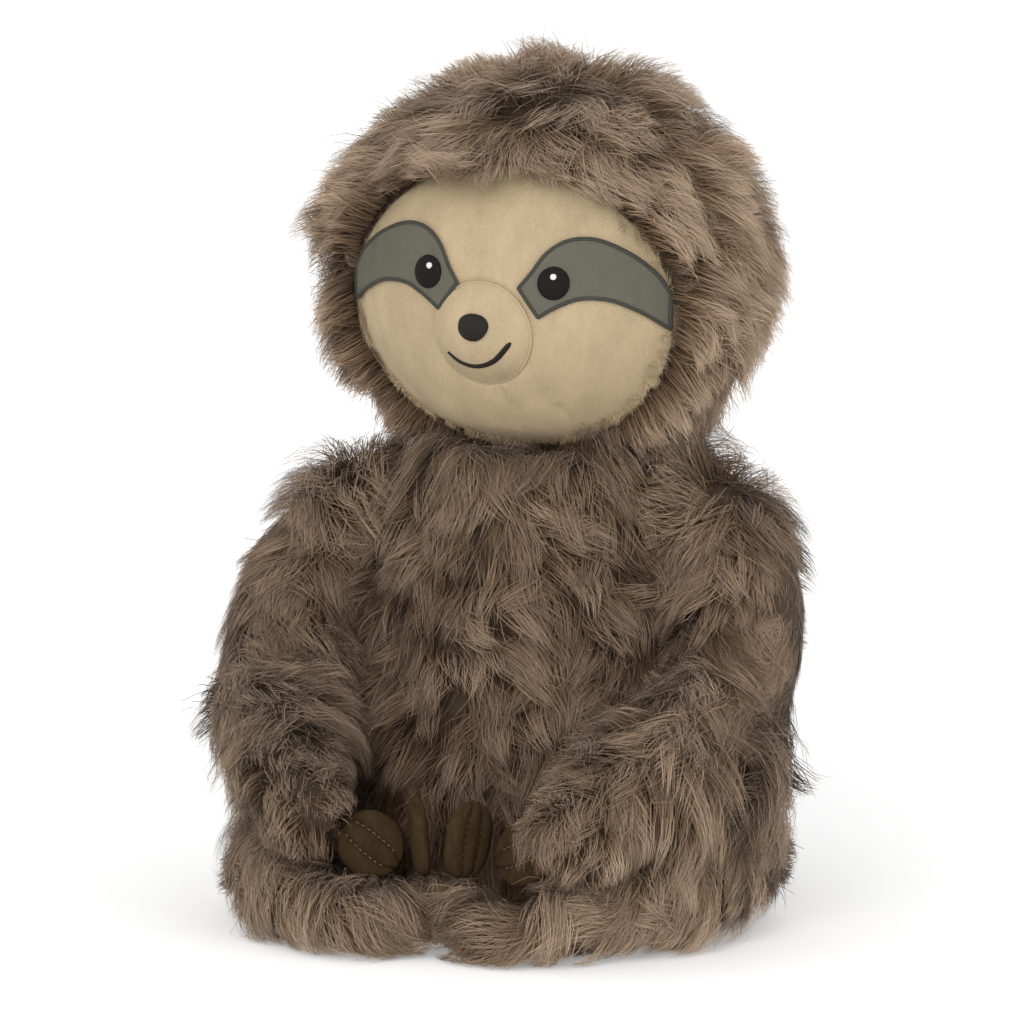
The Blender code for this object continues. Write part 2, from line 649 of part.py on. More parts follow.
def build_limb(word, side, path, wall, materials, pivot, label):
    """Cover open at its seam and stuffing, with a cuff closed flat for the claws."""
    outside, end = limb_rings(path, 0.0, 0.0)
    inside, inner_way = limb_rings(path[:-1], wall, 0.5 * wall)
    cuff_centre = path[-1, :3] + end * CUFF_ROUND
    cuff = cuff_centre + (outside[-1] - path[-1, :3]) * (1.0 - CUFF_ROUND / path[-1, 3])
    mirror = np.array((side, 1.0, 1.0))
    inner_end = path[-2, :3]
    rings = np.array([cuff] + outside[::-1] + inside) * mirror
    points, faces = loft(rings, cuff_centre * mirror, inner_end * mirror)
    add_piece(f"{label}_cover_{word}", points, faces, materials["fur"], pivot)

    stuffing, _ = limb_rings(path[:-1], wall + 3.0 * FILL_GAP, 0.5 * wall + 1.5 * FILL_GAP)
    inner_end = inner_end - inner_way * FILL_GAP
    stuffing[-1] = stuffing[-1] - inner_way * FILL_GAP
    points, faces = loft(np.array(stuffing) * mirror, path[0, :3] * mirror, inner_end * mirror)
    add_piece(f"{label}_fill_{word}", points, faces, materials["stuffing"], pivot)
    return cuff_centre * mirror, end * mirror


def build_claws(name, root, along, face, length, width, material, pivot):
    """Quilted paddle of three claws, from its root towards its tips.

    Across, the thickness has a swell for each claw and a stitched groove between
    two. The tip runs out in a scallop for each claw.
    """
    along = np.asarray(along) / np.linalg.norm(along)
    face = np.asarray(face) - along * (np.asarray(face) @ along)
    face /= np.linalg.norm(face)
    broad = np.cross(face, along)
    across = np.linspace(-1.0, 1.0, 4 * CLAW_COUNT + 1)[:, None]
    run = np.linspace(0.0, 1.0, CLAW_STEPS)[None, :]
    ridge = np.abs(np.cos(0.5 * CLAW_COUNT * math.pi * across))
    half_width = 0.5 * width * flow(CLAW_WIDTH_SHARES, run.shape[1])[:, 0][None, :]
    shorter = TIP_ROUND_SHARE * across ** 2 + SCALLOP_SHARE * (1.0 - ridge)
    forward = run * length * (1.0 - shorter * run)
    border = np.sqrt((1.0 - across ** CLAW_SIDE_POWER)
                     * (1.0 - (2.0 * run - 1.0) ** CLAW_END_POWER))
    swell = 1.0 - GROOVE_SHARE * (1.0 - ridge)
    half = 0.5 * (CLAW_EDGE + (CLAW_THICK - CLAW_EDGE) * border * swell)
    plan = root + broad * (half_width * across)[..., None] + along * forward[..., None]
    points, faces = slab(plan + face * half[..., None], plan - face * half[..., None])
    add_piece(name, points, faces, material, pivot)


def arm_path(word):
    """Rows of an arm's path and radius, from the shoulder seam to the wrist."""
    shoulder = np.array((TORSO_SIDE + SEAT_GAP, SHOULDER_Y, SHOULDER_Z))
    elbow = np.array((ELBOW_OUT, ELBOW_Y, ELBOW_Z))
    wrist = np.array((WRIST_OUT, WRIST_Y, WRIST_Z))
    if word == "left":
        wrist += (0.0, LEFT_REACH_Y, LEFT_REACH_Z)
    rows = []
    for *shares, thick in UPPER_ARM_SHARES:
        radius = SHOULDER_RADIUS + thick * (UPPER_ARM_RADIUS - SHOULDER_RADIUS)
        rows.append((*(shoulder + shares * (elbow - shoulder)), radius))
    for *shares, thick in FOREARM_SHARES:
        radius = WRIST_RADIUS + thick * (ELBOW_RADIUS - WRIST_RADIUS)
        rows.append((*(wrist + shares * (elbow - wrist)), radius))
    return flow(rows, ARM_RINGS)


def leg_path():
    """Rows of a leg's path and radius, from the hip seam to the ankle."""
    hip = np.array((TORSO_SIDE + SEAT_GAP, HIP_Y))
    knee = np.array((KNEE_OUT, KNEE_Y))
    instep = np.array((INSTEP_OUT, INSTEP_Y, INSTEP_RADIUS))
    ankle = np.array((ANKLE_OUT, ANKLE_Y, ANKLE_Z))
    rows = []
    for *shares, thick in THIGH_SHARES:
        radius = HIP_RADIUS + thick * (KNEE_RADIUS - HIP_RADIUS)
        rows.append((*(hip + shares * (knee - hip)), radius - FLOOR_PRESS, radius))
    for *shares, thick in SHIN_SHARES:
        radius = INSTEP_RADIUS + thick * (KNEE_RADIUS - INSTEP_RADIUS)
        rows.append((*(instep[:2] + shares * (knee - instep[:2])), radius - FLOOR_PRESS, radius))
    for *shares, thick in ANKLE_SHARES:
        radius = INSTEP_RADIUS + thick * (ANKLE_RADIUS - INSTEP_RADIUS)
        rows.append((*(instep + shares * (ankle - instep)), radius))
    return flow(rows, LEG_RINGS)


def build_limbs(materials):
    """Both arms and both legs, each with its claws on a soft hinge at the cuff."""
    plane = TORSO_SIDE + SEAT_GAP
    seat = CLAW_THICK * 0.5 + SEAT_GAP
    for side, word in ((1, "left"), (-1, "right")):
        shoulder = add_pivot(f"shoulder_{word}", (side * plane, SHOULDER_Y, SHOULDER_Z))
        cuff, end = build_limb(word, side, arm_path(word), ARM_WALL, materials, shoulder, "arm")
        tilt, droop = math.radians(HAND_FACE_UP_DEG), math.radians(HAND_DROOP_DEG[word])
        face = np.array((0.0, -math.cos(tilt), math.sin(tilt)))
        fall = side * np.cross(face, end)
        fall /= np.linalg.norm(fall)
        corner = 0.5 * HAND_WIDTH * CLAW_WIDTH_SHARES[0][0] * math.sin(droop)
        root = cuff + end * (SEAT_GAP + corner)
        along = end * math.cos(droop) + fall * math.sin(droop)
        wrist = add_pivot(f"wrist_{word}", root + along * seat)
        build_claws(f"hand_claws_{word}", root, along, face,
                    HAND_LENGTH, HAND_WIDTH, materials["suede"], wrist)

        hip = add_pivot(f"hip_{word}", (side * plane, HIP_Y, HIP_RADIUS - FLOOR_PRESS))
        cuff, end = build_limb(word, side, leg_path(), LEG_WALL, materials, hip, "leg")
        inward = np.array((-side, 0.0, 0.0))
        inward -= end * (inward @ end)
        root = cuff + end * SEAT_GAP + inward * FOOT_INWARD
        ankle = add_pivot(f"ankle_{word}", root + end * seat)
        turn = math.radians(FOOT_TURN_DEG)
        build_claws(f"foot_claws_{word}", root, end, (side * math.sin(turn), -math.cos(turn), 0.0),
                    FOOT_LENGTH, FOOT_WIDTH, materials["suede"], ankle)


def stand_on_origin():
    """Move the toy so that the middle of its base is on the origin."""
    bpy.context.view_layer.update()
    corners = [piece.matrix_world @ Vector(corner) for piece in bpy.data.objects
               if piece.type == "MESH" and not piece.hide_render for corner in piece.bound_box]
    low = Vector(min(corner[axis] for corner in corners) for axis in range(3))
    high = Vector(max(corner[axis] for corner in corners) for axis in range(3))
    shift = Vector((0.5 * (low.x + high.x), 0.5 * (low.y + high.y), low.z))
    for item in bpy.data.objects:
        if item.parent is None:
            item.location -= shift


def main():
    """Build the toy and stand it with the middle of its base on the origin."""
    clear_scene()
    materials = {
        "fur": make_material("brown_fur", FUR_BROWN, 0.9),
        "velboa": make_material("cream_velboa", VELBOA_CREAM, 0.85),
        "felt": make_material("grey_felt", FELT_GREY, 0.9),
        "eye": make_material("dark_thread", THREAD_DARK, 0.4),
        "nose": make_material("charcoal_thread", THREAD_NOSE, 0.5),
        "glint": make_material("white_thread", THREAD_WHITE, 0.5),
        "suede": make_material("brown_suede", SUEDE_BROWN, 0.85),
        "stuffing": make_material("polyester_stuffing", STUFFING, 0.95),
        "pouch": make_material("pouch_cloth", POUCH_CLOTH, 0.9),
    }
    build_torso(materials)
    neck = add_pivot("neck", NECK)
    points, faces = make_ball(NECK_RADIUS, NECK_SIDES)
    add_piece("neck_fill", points, faces, materials["stuffing"], neck)
    build_head(neck, materials)
    build_face(neck, materials)
    build_limbs(materials)
    stand_on_origin()


main()
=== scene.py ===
"""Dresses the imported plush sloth: long-pile pelts, velboa face, felt, stitches and suede."""
import math
from functools import partial

import bpy
import numpy as np
from mathutils import Matrix, Vector


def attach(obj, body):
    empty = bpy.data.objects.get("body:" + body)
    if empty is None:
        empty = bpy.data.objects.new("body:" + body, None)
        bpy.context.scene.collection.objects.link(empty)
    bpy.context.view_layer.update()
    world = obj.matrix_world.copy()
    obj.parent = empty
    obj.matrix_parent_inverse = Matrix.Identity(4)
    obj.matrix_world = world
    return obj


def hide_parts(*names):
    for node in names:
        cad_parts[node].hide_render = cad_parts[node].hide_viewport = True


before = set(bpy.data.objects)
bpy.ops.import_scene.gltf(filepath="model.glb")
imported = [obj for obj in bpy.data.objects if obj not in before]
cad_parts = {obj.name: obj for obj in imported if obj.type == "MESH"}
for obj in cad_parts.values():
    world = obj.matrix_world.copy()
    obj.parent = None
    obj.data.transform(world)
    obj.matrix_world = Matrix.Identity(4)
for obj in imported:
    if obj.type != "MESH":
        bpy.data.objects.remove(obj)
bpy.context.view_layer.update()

bl_info = {
    "name": "Plush Sloth",
    "version": (1, 0, 0),
    "blender": (4, 5, 0),
    "location": "View3D > Sidebar > Plush Sloth",
    "description": "Makes the fur, face and paws of a seated plush sloth",
    "category": "Object",
}

# Measures in metres. +X is the toy's own left side and it faces -Y.
REAR_SHIFT = 0.01166
NECK = np.array((-0.005, 0.03234, 0.182))
SKIN = np.array((0.075, 0.070, 0.0665))
SKIN_RISE = 0.060
PELT = np.array((0.0805, 0.0750, 0.0720))
PELT_CENTRE = np.array((0.0, 0.0, 0.004))
HEAD_TURN = np.array(Matrix.Rotation(math.radians(3.0), 3, "Y")
                     @ Matrix.Rotation(math.radians(-3.0), 3, "X"))
FACE_HALF = np.array((0.0628, 0.0529))
FACE_V = -0.0085
MUZZLE_U, MUZZLE_V, MUZZLE_RADIUS, MUZZLE_SWELL = -0.0024, -0.0176, 0.0195, 0.0088
PANEL_TOP = 0.0015
FELT_TOP = 0.0029
TORSO_HEIGHT, TORSO_SIDE, TORSO_LEAN = 0.177, 0.063, 0.013
TORSO_HALF = np.array((0.070, 0.075))
TORSO_Y = 0.031 - REAR_SHIFT
TORSO_SHARES = ((0.00, 0.70, 0.72, 0.2), (0.05, 0.88, 0.90, 0.1), (0.30, 1.00, 1.00, 0.0),
                (0.62, 0.99, 0.90, 0.4), (0.87, 0.97, 0.77, 0.9), (1.00, 0.84, 0.64, 1.0))
# Places and radii along the limbs on the toy's right, where x is the distance outwards
ARM_ROUTE = ((0.0633, 0.0300, 0.1490, 0.0225), (0.0765, 0.0280, 0.1449, 0.0243),
             (0.0906, 0.0132, 0.1195, 0.0260), (0.0920, -0.0100, 0.0900, 0.0245),
             (0.0835, -0.0376, 0.0740, 0.0234), (0.0666, -0.0652, 0.0623, 0.0200),
             (0.0539, -0.0797, 0.0522, 0.0180), (0.0450, -0.0790, 0.0480, 0.0155))
LEFT_REACH = ((0, 0), (0, 0), (0, 0), (0, 0), (-0.0016, -0.0011), (-0.0032, -0.0020),
              (-0.0040, -0.0027), (-0.0040, -0.0030))
LEG_ROUTE = ((0.0633, 0.0200, 0.0280, 0.0285), (0.0740, 0.0144, 0.0277, 0.0282),
             (0.0795, -0.0200, 0.0245, 0.0250), (0.0726, -0.0511, 0.0198, 0.0203),
             (0.0538, -0.0792, 0.0146, 0.0151), (0.0300, -0.0940, 0.0107, 0.0112),
             (0.0176, -0.0907, 0.0126, 0.0099), (0.0100, -0.0823, 0.0186, 0.0090),
             (0.0100, -0.0810, 0.0255, 0.0084))
SHOULDER = np.array((0.0633, 0.01834, 0.149))
HIP = np.array((0.0633, 0.00834, 0.028))
SHOULDER_OPEN, HIP_OPEN = 0.021, 0.019
NECK_RADIUS = 0.024
TORSO_INSET, LIMB_INSET = 0.0055, 0.005
CROWN = np.array((-0.006, -0.026, 0.078))
RIM_GAP, RIM_LIFT = 0.002, 0.0008
SIDES = (("left", 1.0), ("right", -1.0))
# Each arm's side, the change of its reach, and its pile's shares at the cuff, on the
# shoulder and off the elbow
ARMS = (("left", 1.0, LEFT_REACH, 0.44, 1.75, 0.90), ("right", -1.0, (), 0.36, 0.65, 0.45))

# Lines on the face, across and up from the middle of the head's skin
DARTS = (((0.0030, -0.0392), (0.0075, -0.0505)), ((0.0235, -0.0440), (0.0262, -0.0500)))
PATCH_TOP = ((0.0119, 0.0005), (0.0160, 0.0062), (0.0209, 0.0140), (0.0278, 0.0189), (0.0370, 0.0196),
             (0.0480, 0.0152), (0.0567, 0.0083), (0.0614, 0.0010))
PATCH_FOOT = ((0.0194, -0.0097), (0.0233, -0.0069), (0.0278, -0.0043), (0.0328, -0.0021),
              (0.0387, -0.0014), (0.0457, -0.0024), (0.0540, -0.0063), (0.0614, -0.0118))
MOUTH = ((-0.0138, -0.0240), (-0.0088, -0.0266), (-0.0026, -0.0274), (0.0041, -0.0249), (0.0102, -0.0184))
EYE_ACROSS, EYE_UP, EYE_HALF = 0.0242, 0.0032, (0.0056, 0.0060)
FELT_THICK = 0.0011
BORDER_PITCH, BORDER_HALF, BORDER_RISE = 0.00028, 0.00068, 0.00042

FOOT = ((0.00783, -0.09248, 0.02862), (0.1348, 0.0576, 0.9892), (0.8974, -0.4303, -0.0972))
# Each paddle's node, body, root, direction of its claws and of its face, length and width
PADDLES = (
    ("hand_claws_left", "left_hand", (0.04254, -0.09386, 0.04392), (-0.8780, 0.2841, -0.3853),
     (-0.3921, -0.8886, 0.2382), 0.0262, 0.0245),
    ("hand_claws_right", "right_hand", (-0.04028, -0.08922, 0.04607), (0.7676, 0.1471, -0.6238),
     (0.3058, -0.9394, 0.1547), 0.0262, 0.0245),
    ("foot_claws_left", "left_foot", *FOOT, 0.0300, 0.0230),
    ("foot_claws_right", "right_foot", *((-x, y, z) for x, y, z in FOOT), 0.0300, 0.0230),
)
CLAW_THICK, CLAW_EDGE = 0.0066, 0.0013
CLAW_WIDTHS = ((0.84,), (0.95,), (1.0,), (0.99,), (0.92,))
# Pitch and length of the topstitch as shares of a paddle's length, and its thread's radius
STITCH_PITCH, STITCH_LONG, STITCH_RADIUS = 0.098, 0.058, 0.00030

# Steps of a strand, half its width in the colour map, and the shares of all strands on the
# head, the torso, half an arm and a leg
STEPS, UV_HALF = 4, 0.004
HEAD_SHARE, TORSO_SHARE, ARM_SHARE, LEG_SHARE = 0.30, 0.20, 0.065, 0.103

STAGE_MIDDLE = (-0.0036, -0.0023, 0.1544)
FLOOR_RADIUS, FLOOR_TONE, FLOOR_GLOW = 40.0, 0.97, 0.28
# Each sun's name, azimuth from the camera's, elevation and width, in degrees
SUNS = (("key_sun", -17.0, 20.0, 34.0), ("fill_sun", 48.0, 9.0, 50.0))


def unit(rows):
    """Rows scaled to a length of one."""
    return rows / np.maximum(np.linalg.norm(rows, axis=-1, keepdims=True), 1e-9)


def ease(value):
    """Smooth step from 0 to 1 as the value goes from 0 to 1."""
    value = np.clip(value, 0.0, 1.0)
    return value * value * (3.0 - 2.0 * value)


def rising(value, start, width):
    """Smooth step from 0 to 1 as the value goes up from start by width."""
    return ease((value - start) / width)


def falling(value, start, width):
    """Smooth step from 0 to 1 as the value goes down from start by width."""
    return ease((start - value) / width)


def turns(count):
    """Even angles round a circle."""
    return np.linspace(0.0, 2.0 * math.pi, count, endpoint=False)


def stacked(across, back, up):
    """Rows of three coordinates, of which some may be plain numbers."""
    return np.stack(np.broadcast_arrays(across, back, up), axis=-1)


def flow(rows, count):
    """Catmull-Rom curve through the rows, at count even places."""
    rows = np.asarray(rows, dtype=float)
    rows = np.vstack([2 * rows[0] - rows[1], rows, 2 * rows[-1] - rows[-2]])
    place = np.linspace(0.0, len(rows) - 3, count)
    start = np.minimum(place.astype(int), len(rows) - 4)
    share = (place - start)[:, None]
    before, here, there, after = (rows[start + step] for step in range(4))
    bend = 2 * before - 5 * here + 4 * there - after
    twist = 3 * (here - there) + after - before
    return here + 0.5 * share * (there - before + share * (bend + share * twist))


def head_place(points):
    """Head's own frame (across, back, up from the skin's centre) to the row frame."""
    lifted = np.asarray(points) + np.array((0.0, 0.0, SKIN_RISE))
    return lifted @ HEAD_TURN.T + NECK


def face_point(across, up, height):
    """Point over the front of the skin: the ellipsoid's point plus its normal by height."""
    across, up, height = np.broadcast_arrays(*(np.asarray(a, float) for a in (across, up, height)))
    rest = np.clip(1.0 - (across / SKIN[0]) ** 2 - (up / SKIN[2]) ** 2, 0.0, None)
    point = stacked(across, -SKIN[1] * np.sqrt(rest), up)
    return head_place(point + unit(point / SKIN ** 2) * height[..., None])


def make_mesh(name, points, quads, tris, material, uvs=None):
    """Object at the origin from arrays of points, quads, triangles and corner UVs."""
    points = np.asarray(points, np.float32).reshape(-1, 3)
    quads = np.asarray(quads, np.int32).reshape(-1, 4)
    tris = np.asarray(tris, np.int32).reshape(-1, 3)
    mesh = bpy.data.meshes.new(name)
    mesh.vertices.add(len(points))
    mesh.vertices.foreach_set("co", points.ravel())
    corners = np.concatenate([quads.ravel(), tris.ravel()])
    mesh.loops.add(len(corners))
    mesh.loops.foreach_set("vertex_index", corners)
    starts = np.concatenate([4 * np.arange(len(quads)),
                             4 * len(quads) + 3 * np.arange(len(tris))]).astype(np.int32)
    mesh.polygons.add(len(starts))
    mesh.polygons.foreach_set("loop_start", starts)
    mesh.update(calc_edges=True)
    if uvs is not None:
        layer = mesh.uv_layers.new(name="OFBake")
        layer.data.foreach_set("uv", np.asarray(uvs, np.float32).ravel())
    mesh.materials.append(material)
    mesh.shade_smooth()
    item = bpy.data.objects.new(name, mesh)
    bpy.context.scene.collection.objects.link(item)
    return item


def finish_piece(item, body, replaces=()):
    """Rides a piece on its body and says what it stands for."""
    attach(item, body)
    if replaces:
        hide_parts(*replaces)
    return item


def band(low, sides):
    """Quads from each ring that begins at a point of low to the ring after it."""
    here = np.arange(sides)
    there = (here + 1) % sides
    return np.stack([low + here, low + there, low + sides + there, low + sides + here], axis=-1)


def closed_loft(name, rings, first, last, material):
    """Closed skin: a fan at the first point, bands from ring to ring, and a fan at the last."""
    rings = np.asarray(rings, float)
    count, sides = rings.shape[:2]
    points = np.vstack([np.reshape(first, (1, 3)), rings.reshape(-1, 3), np.reshape(last, (1, 3))])
    here = np.arange(sides)
    there = (here + 1) % sides
    quads = band(1 + sides * np.arange(count - 1)[:, None], sides)
    end = 1 + sides * (count - 1)
    tris = np.vstack([np.stack([0 * here, 1 + there, 1 + here], axis=-1),
                      np.stack([end + here, end + there, 0 * here + end + sides], axis=-1)])
    item = make_mesh(name, points, quads.reshape(-1, 4), tris, material)
    outward(item)
    return item


def outward(item):
    """Turns a closed skin's faces outwards, by the sign of its volume."""
    mesh = item.data
    mesh.calc_loop_triangles()
    corner = np.empty(3 * len(mesh.loop_triangles), np.int32)
    mesh.loop_triangles.foreach_get("vertices", corner)
    place = np.empty(3 * len(mesh.vertices), np.float32)
    mesh.vertices.foreach_get("co", place)
    a, b, c = place.reshape(-1, 3)[corner.reshape(-1, 3)].transpose(1, 0, 2)
    if np.einsum("ij,ij->i", a, np.cross(b, c)).sum() < 0.0:
        mesh.flip_normals()


def sheet_block(name, top, foot, material):
    """Closed slab between two grids of the same size, joined round their border."""
    rows, columns = top.shape[:2]
    size = rows * columns
    index = np.arange(size).reshape(rows, columns)
    quad = np.stack([index[:-1, :-1], index[:-1, 1:], index[1:, 1:], index[1:, :-1]], axis=-1)
    quad = quad.reshape(-1, 4)
    rim = np.concatenate([index[0, :-1], index[:-1, -1], index[-1, :0:-1], index[:0:-1, 0]])
    on = np.roll(rim, -1)
    wall = np.stack([on, rim, rim + size, on + size], axis=-1)
    points = np.vstack([top.reshape(-1, 3), foot.reshape(-1, 3)])
    item = make_mesh(name, points, np.vstack([quad, quad[:, ::-1] + size, wall]), (), material)
    outward(item)
    return item


class Dome:
    """Ellipsoid in the head's own frame, which strands walk over by projection."""

    place = staticmethod(head_place)

    def __init__(self, radii=PELT, centre=PELT_CENTRE):
        self.radii, self.centre = radii, centre

    def scatter(self, rng, count, keep):
        """Even random points that keep allows."""
        found = []
        while sum(len(rows) for rows in found) < count:
            point = self.centre + unit(rng.normal(size=(2 * count, 3))) * self.radii
            found.append(point[keep(point)])
        return np.vstack(found)[:count]

    def frame(self, state):
        """Point, normal and lengthwise direction."""
        normal = unit((state - self.centre) / self.radii ** 2)
        return state, normal, np.zeros_like(normal)

    def walk(self, state, step):
        """State a step further, put back on the ellipsoid."""
        ray = state + step - self.centre
        return self.centre + ray / np.linalg.norm(ray / self.radii, axis=1, keepdims=True)


class Tube:
    """Grid of rings, which strands walk over in shares of its rows and columns."""

    place = staticmethod(lambda points: points)

    def __init__(self, rings):
        self.rings = np.asarray(rings, float)
        closed = np.concatenate([self.rings, self.rings[:, :1]], axis=1)
        self.long = np.gradient(self.rings, axis=0)
        self.round = 0.5 * (np.roll(self.rings, -1, axis=1) - np.roll(self.rings, 1, axis=1))
        normal = unit(np.cross(self.long, self.round))
        middle = self.rings.mean(axis=1, keepdims=True)
        if np.sum(normal * (self.rings - middle)) < 0.0:
            normal = -normal
        self.normal = normal
        side_a = closed[1:, :-1] - closed[:-1, :-1]
        side_b = closed[:-1, 1:] - closed[:-1, :-1]
        self.area = np.linalg.norm(np.cross(side_a, side_b), axis=-1)

    def scatter(self, rng, count, keep):
        """Even random states whose points keep allows."""
        chance = self.area.ravel() / self.area.sum()
        found = []
        while sum(len(rows) for rows in found) < count:
            cell = rng.choice(len(chance), 2 * count, p=chance)
            state = np.stack(np.divmod(cell, self.area.shape[1]), axis=1) + rng.random((2 * count, 2))
            found.append(state[keep(self.frame(state)[0])])
        return np.vstack(found)[:count]

    def blend(self, grid, state):
        """Grid read between its rows and columns, and carried on past its ends."""
        rows, columns = grid.shape[:2]
        row = np.clip(np.floor(state[:, 0]).astype(int), 0, rows - 2)
        column = np.floor(state[:, 1]).astype(int)
        up = (state[:, 0] - row)[:, None]
        on = (state[:, 1] - column)[:, None]
        here, there = column % columns, (column + 1) % columns
        low = grid[row, here] * (1.0 - on) + grid[row, there] * on
        high = grid[row + 1, here] * (1.0 - on) + grid[row + 1, there] * on
        return low * (1.0 - up) + high * up

    def frame(self, state):
        """Point, normal and lengthwise direction."""
        inside = np.stack([np.clip(state[:, 0], 0, len(self.rings) - 1), state[:, 1]], axis=1)
        normal = unit(self.blend(self.normal, inside))
        return self.blend(self.rings, state), normal, unit(self.blend(self.long, inside))

    def walk(self, state, step):
        """State a step further, by the lengths of a row and a column there."""
        inside = np.stack([np.clip(state[:, 0], 0, len(self.rings) - 1), state[:, 1]], axis=1)
        a, b = self.blend(self.long, inside), self.blend(self.round, inside)
        aa, ab, bb = ((p * q).sum(axis=1) for p, q in ((a, a), (a, b), (b, b)))
        sa, sb = (step * a).sum(axis=1), (step * b).sum(axis=1)
        room = np.maximum(aa * bb - ab * ab, 1e-14)
        move = np.stack([(sa * bb - sb * ab) / room, (sb * aa - sa * ab) / room], axis=1)
        return state + np.clip(move, -3.0, 3.0)


def face_reach(point):
    """Distance from the face's middle on the head, where 1 is the face's edge."""
    across = point[:, 0] / (FACE_HALF[0] + RIM_GAP)
    up = (point[:, 2] - FACE_V) / (FACE_HALF[1] + RIM_GAP)
    return np.where(point[:, 1] < 0.0, np.hypot(across, up), 9.0)


def head_rings():
    """Rings over the head from just under the face's edge to near the back.

    Each ray turns evenly from the edge to the back. Its place goes from the skin out to
    the pelt's ellipsoid over the first part of the way.
    """
    turn = turns(96)
    across = (FACE_HALF[0] + RIM_LIFT) * np.cos(turn)
    up = FACE_V + (FACE_HALF[1] + RIM_LIFT) * np.sin(turn)
    rest = np.sqrt(1.0 - (across / SKIN[0]) ** 2 - (up / SKIN[2]) ** 2)
    start = unit(stacked(across, -SKIN[1] * rest, up))
    pole = np.array((0.0, 1.0, 0.0))
    sweep = np.arccos(start @ pole)[:, None]
    rings = []
    for share in np.linspace(0.0, 1.0, 41)[:-1]:
        ray = unit(np.sin((1 - share) * sweep) * start + np.sin(share * sweep) * pole)
        swell = float(ease(share / 0.09))
        radii = (SKIN + RIM_LIFT) * (1 - swell) + PELT * swell
        rings.append(PELT_CENTRE * swell + ray / np.linalg.norm(ray / radii, axis=1, keepdims=True))
    under = unit(rings[0]) * 0.97 * np.linalg.norm(rings[0], axis=1, keepdims=True)
    return np.array([under] + rings)


def torso_rings():
    """Level rings of the torso, which lie inside its solid except at the base.

    Each is an oval whose half width, half depth and lean come from the shares for its
    height, cut off flat at the shoulder and hip seams.
    """
    heights = np.concatenate([np.linspace(0.0, 0.02, 6), np.linspace(0.028, TORSO_HEIGHT - 0.004, 22)])
    rows = flow(TORSO_SHARES, 101)
    share = heights / TORSO_HEIGHT
    width, depth, lean = (np.interp(share, rows[:, 0], rows[:, k]) for k in (1, 2, 3))
    inset = TORSO_INSET * ease(heights / 0.012)
    turn = turns(96)
    side = (TORSO_SIDE - inset)[:, None]
    across = np.clip((TORSO_HALF[0] * width - inset)[:, None] * np.cos(turn), -side, side)
    middle = (TORSO_Y + TORSO_LEAN * lean)[:, None]
    back = middle + (TORSO_HALF[1] * depth - inset)[:, None] * np.sin(turn)
    return stacked(across, back, heights[:, None])


def limb_rings(route, reach, side, count, sides=40):
    """Rings across a limb's route, pressed flat on the seam's plane and the floor.

    Each is a circle square to the route's smoothed direction, a little inside the solid.
    """
    rows = np.array(route, float)
    rows[:, 1] -= REAR_SHIFT
    if reach:
        rows[:, 1:3] += reach
    path = flow(rows, count)
    along = unit(np.gradient(path[:, :3], axis=0))
    along[0] = (1.0, 0.0, 0.0)
    for _ in range(count // 3):
        along[1:-1] = unit(along[1:-1] + 0.5 * (along[:-2] + along[2:]))
    first = np.array((0.0, 0.0, 1.0))
    turn = turns(sides)[:, None]
    rings = []
    for place, direction in zip(path, along):
        first = unit(first - direction * (first @ direction))
        radius = place[3] - LIMB_INSET * min(1.0, place[3] / 0.016)
        ring = place[:3] + radius * (np.cos(turn) * first + np.sin(turn) * np.cross(direction, first))
        ring[:, 0] -= 0.0025 * np.clip((place[0] - ring[:, 0]) / radius, 0.0, 1.0)
        ahead = np.maximum(-0.026 - ring[:, 1], 0.0)
        ring[:, 0] = np.maximum(ring[:, 0], 0.0600 - ahead)
        ring[:, 2] = np.maximum(ring[:, 2], 0.002)
        rings.append(ring)
    return np.array(rings) * (side, 1.0, 1.0)


def drift(point, size, seed):
    """Smooth wander, mostly between -1 and 1: the mean of four sines along set directions, times 1.6."""
    way = unit(np.random.default_rng(seed).normal(size=(4, 3))) * (2.0 * math.pi / size)
    return np.sin(point @ way.T + (0.0, 1.3, 2.9, 4.4)).mean(axis=1) * 1.6


def trail(pelt, comb, state, turn, length, rise, sway, phase):
    """Places along strands over a pelt.

    At each of a few steps a strand has gone on along the combed direction, turned by
    its own angle, and stands off the pelt by rise * (1 - (1 - s) ** 1.9). A sideways
    sway of sway * s * sin(phase + 4 s) bends it.
    """
    travel = np.sqrt(np.maximum(length ** 2 - rise ** 2, 1e-8)) / STEPS
    rows = []
    for share in np.linspace(0.0, 1.0, STEPS + 1):
        point, normal, along = pelt.frame(state)
        heading = comb(point, normal, along)
        heading = unit(heading - normal * (heading * normal).sum(axis=1, keepdims=True))
        heading = heading * np.cos(turn)[:, None] + np.cross(normal, heading) * np.sin(turn)[:, None]
        off = rise * (1.0 - (1.0 - share) ** 1.9) - 0.0008 * (1.0 - share)
        wave = sway * share * np.sin(phase + 4.0 * share)
        rows.append(point + normal * off[:, None] + np.cross(normal, heading) * wave[:, None])
        state = pelt.walk(state, heading * travel[:, None])
    return np.stack(rows, axis=1)


def ones(point):
    """One for each point."""
    return np.ones(len(point))


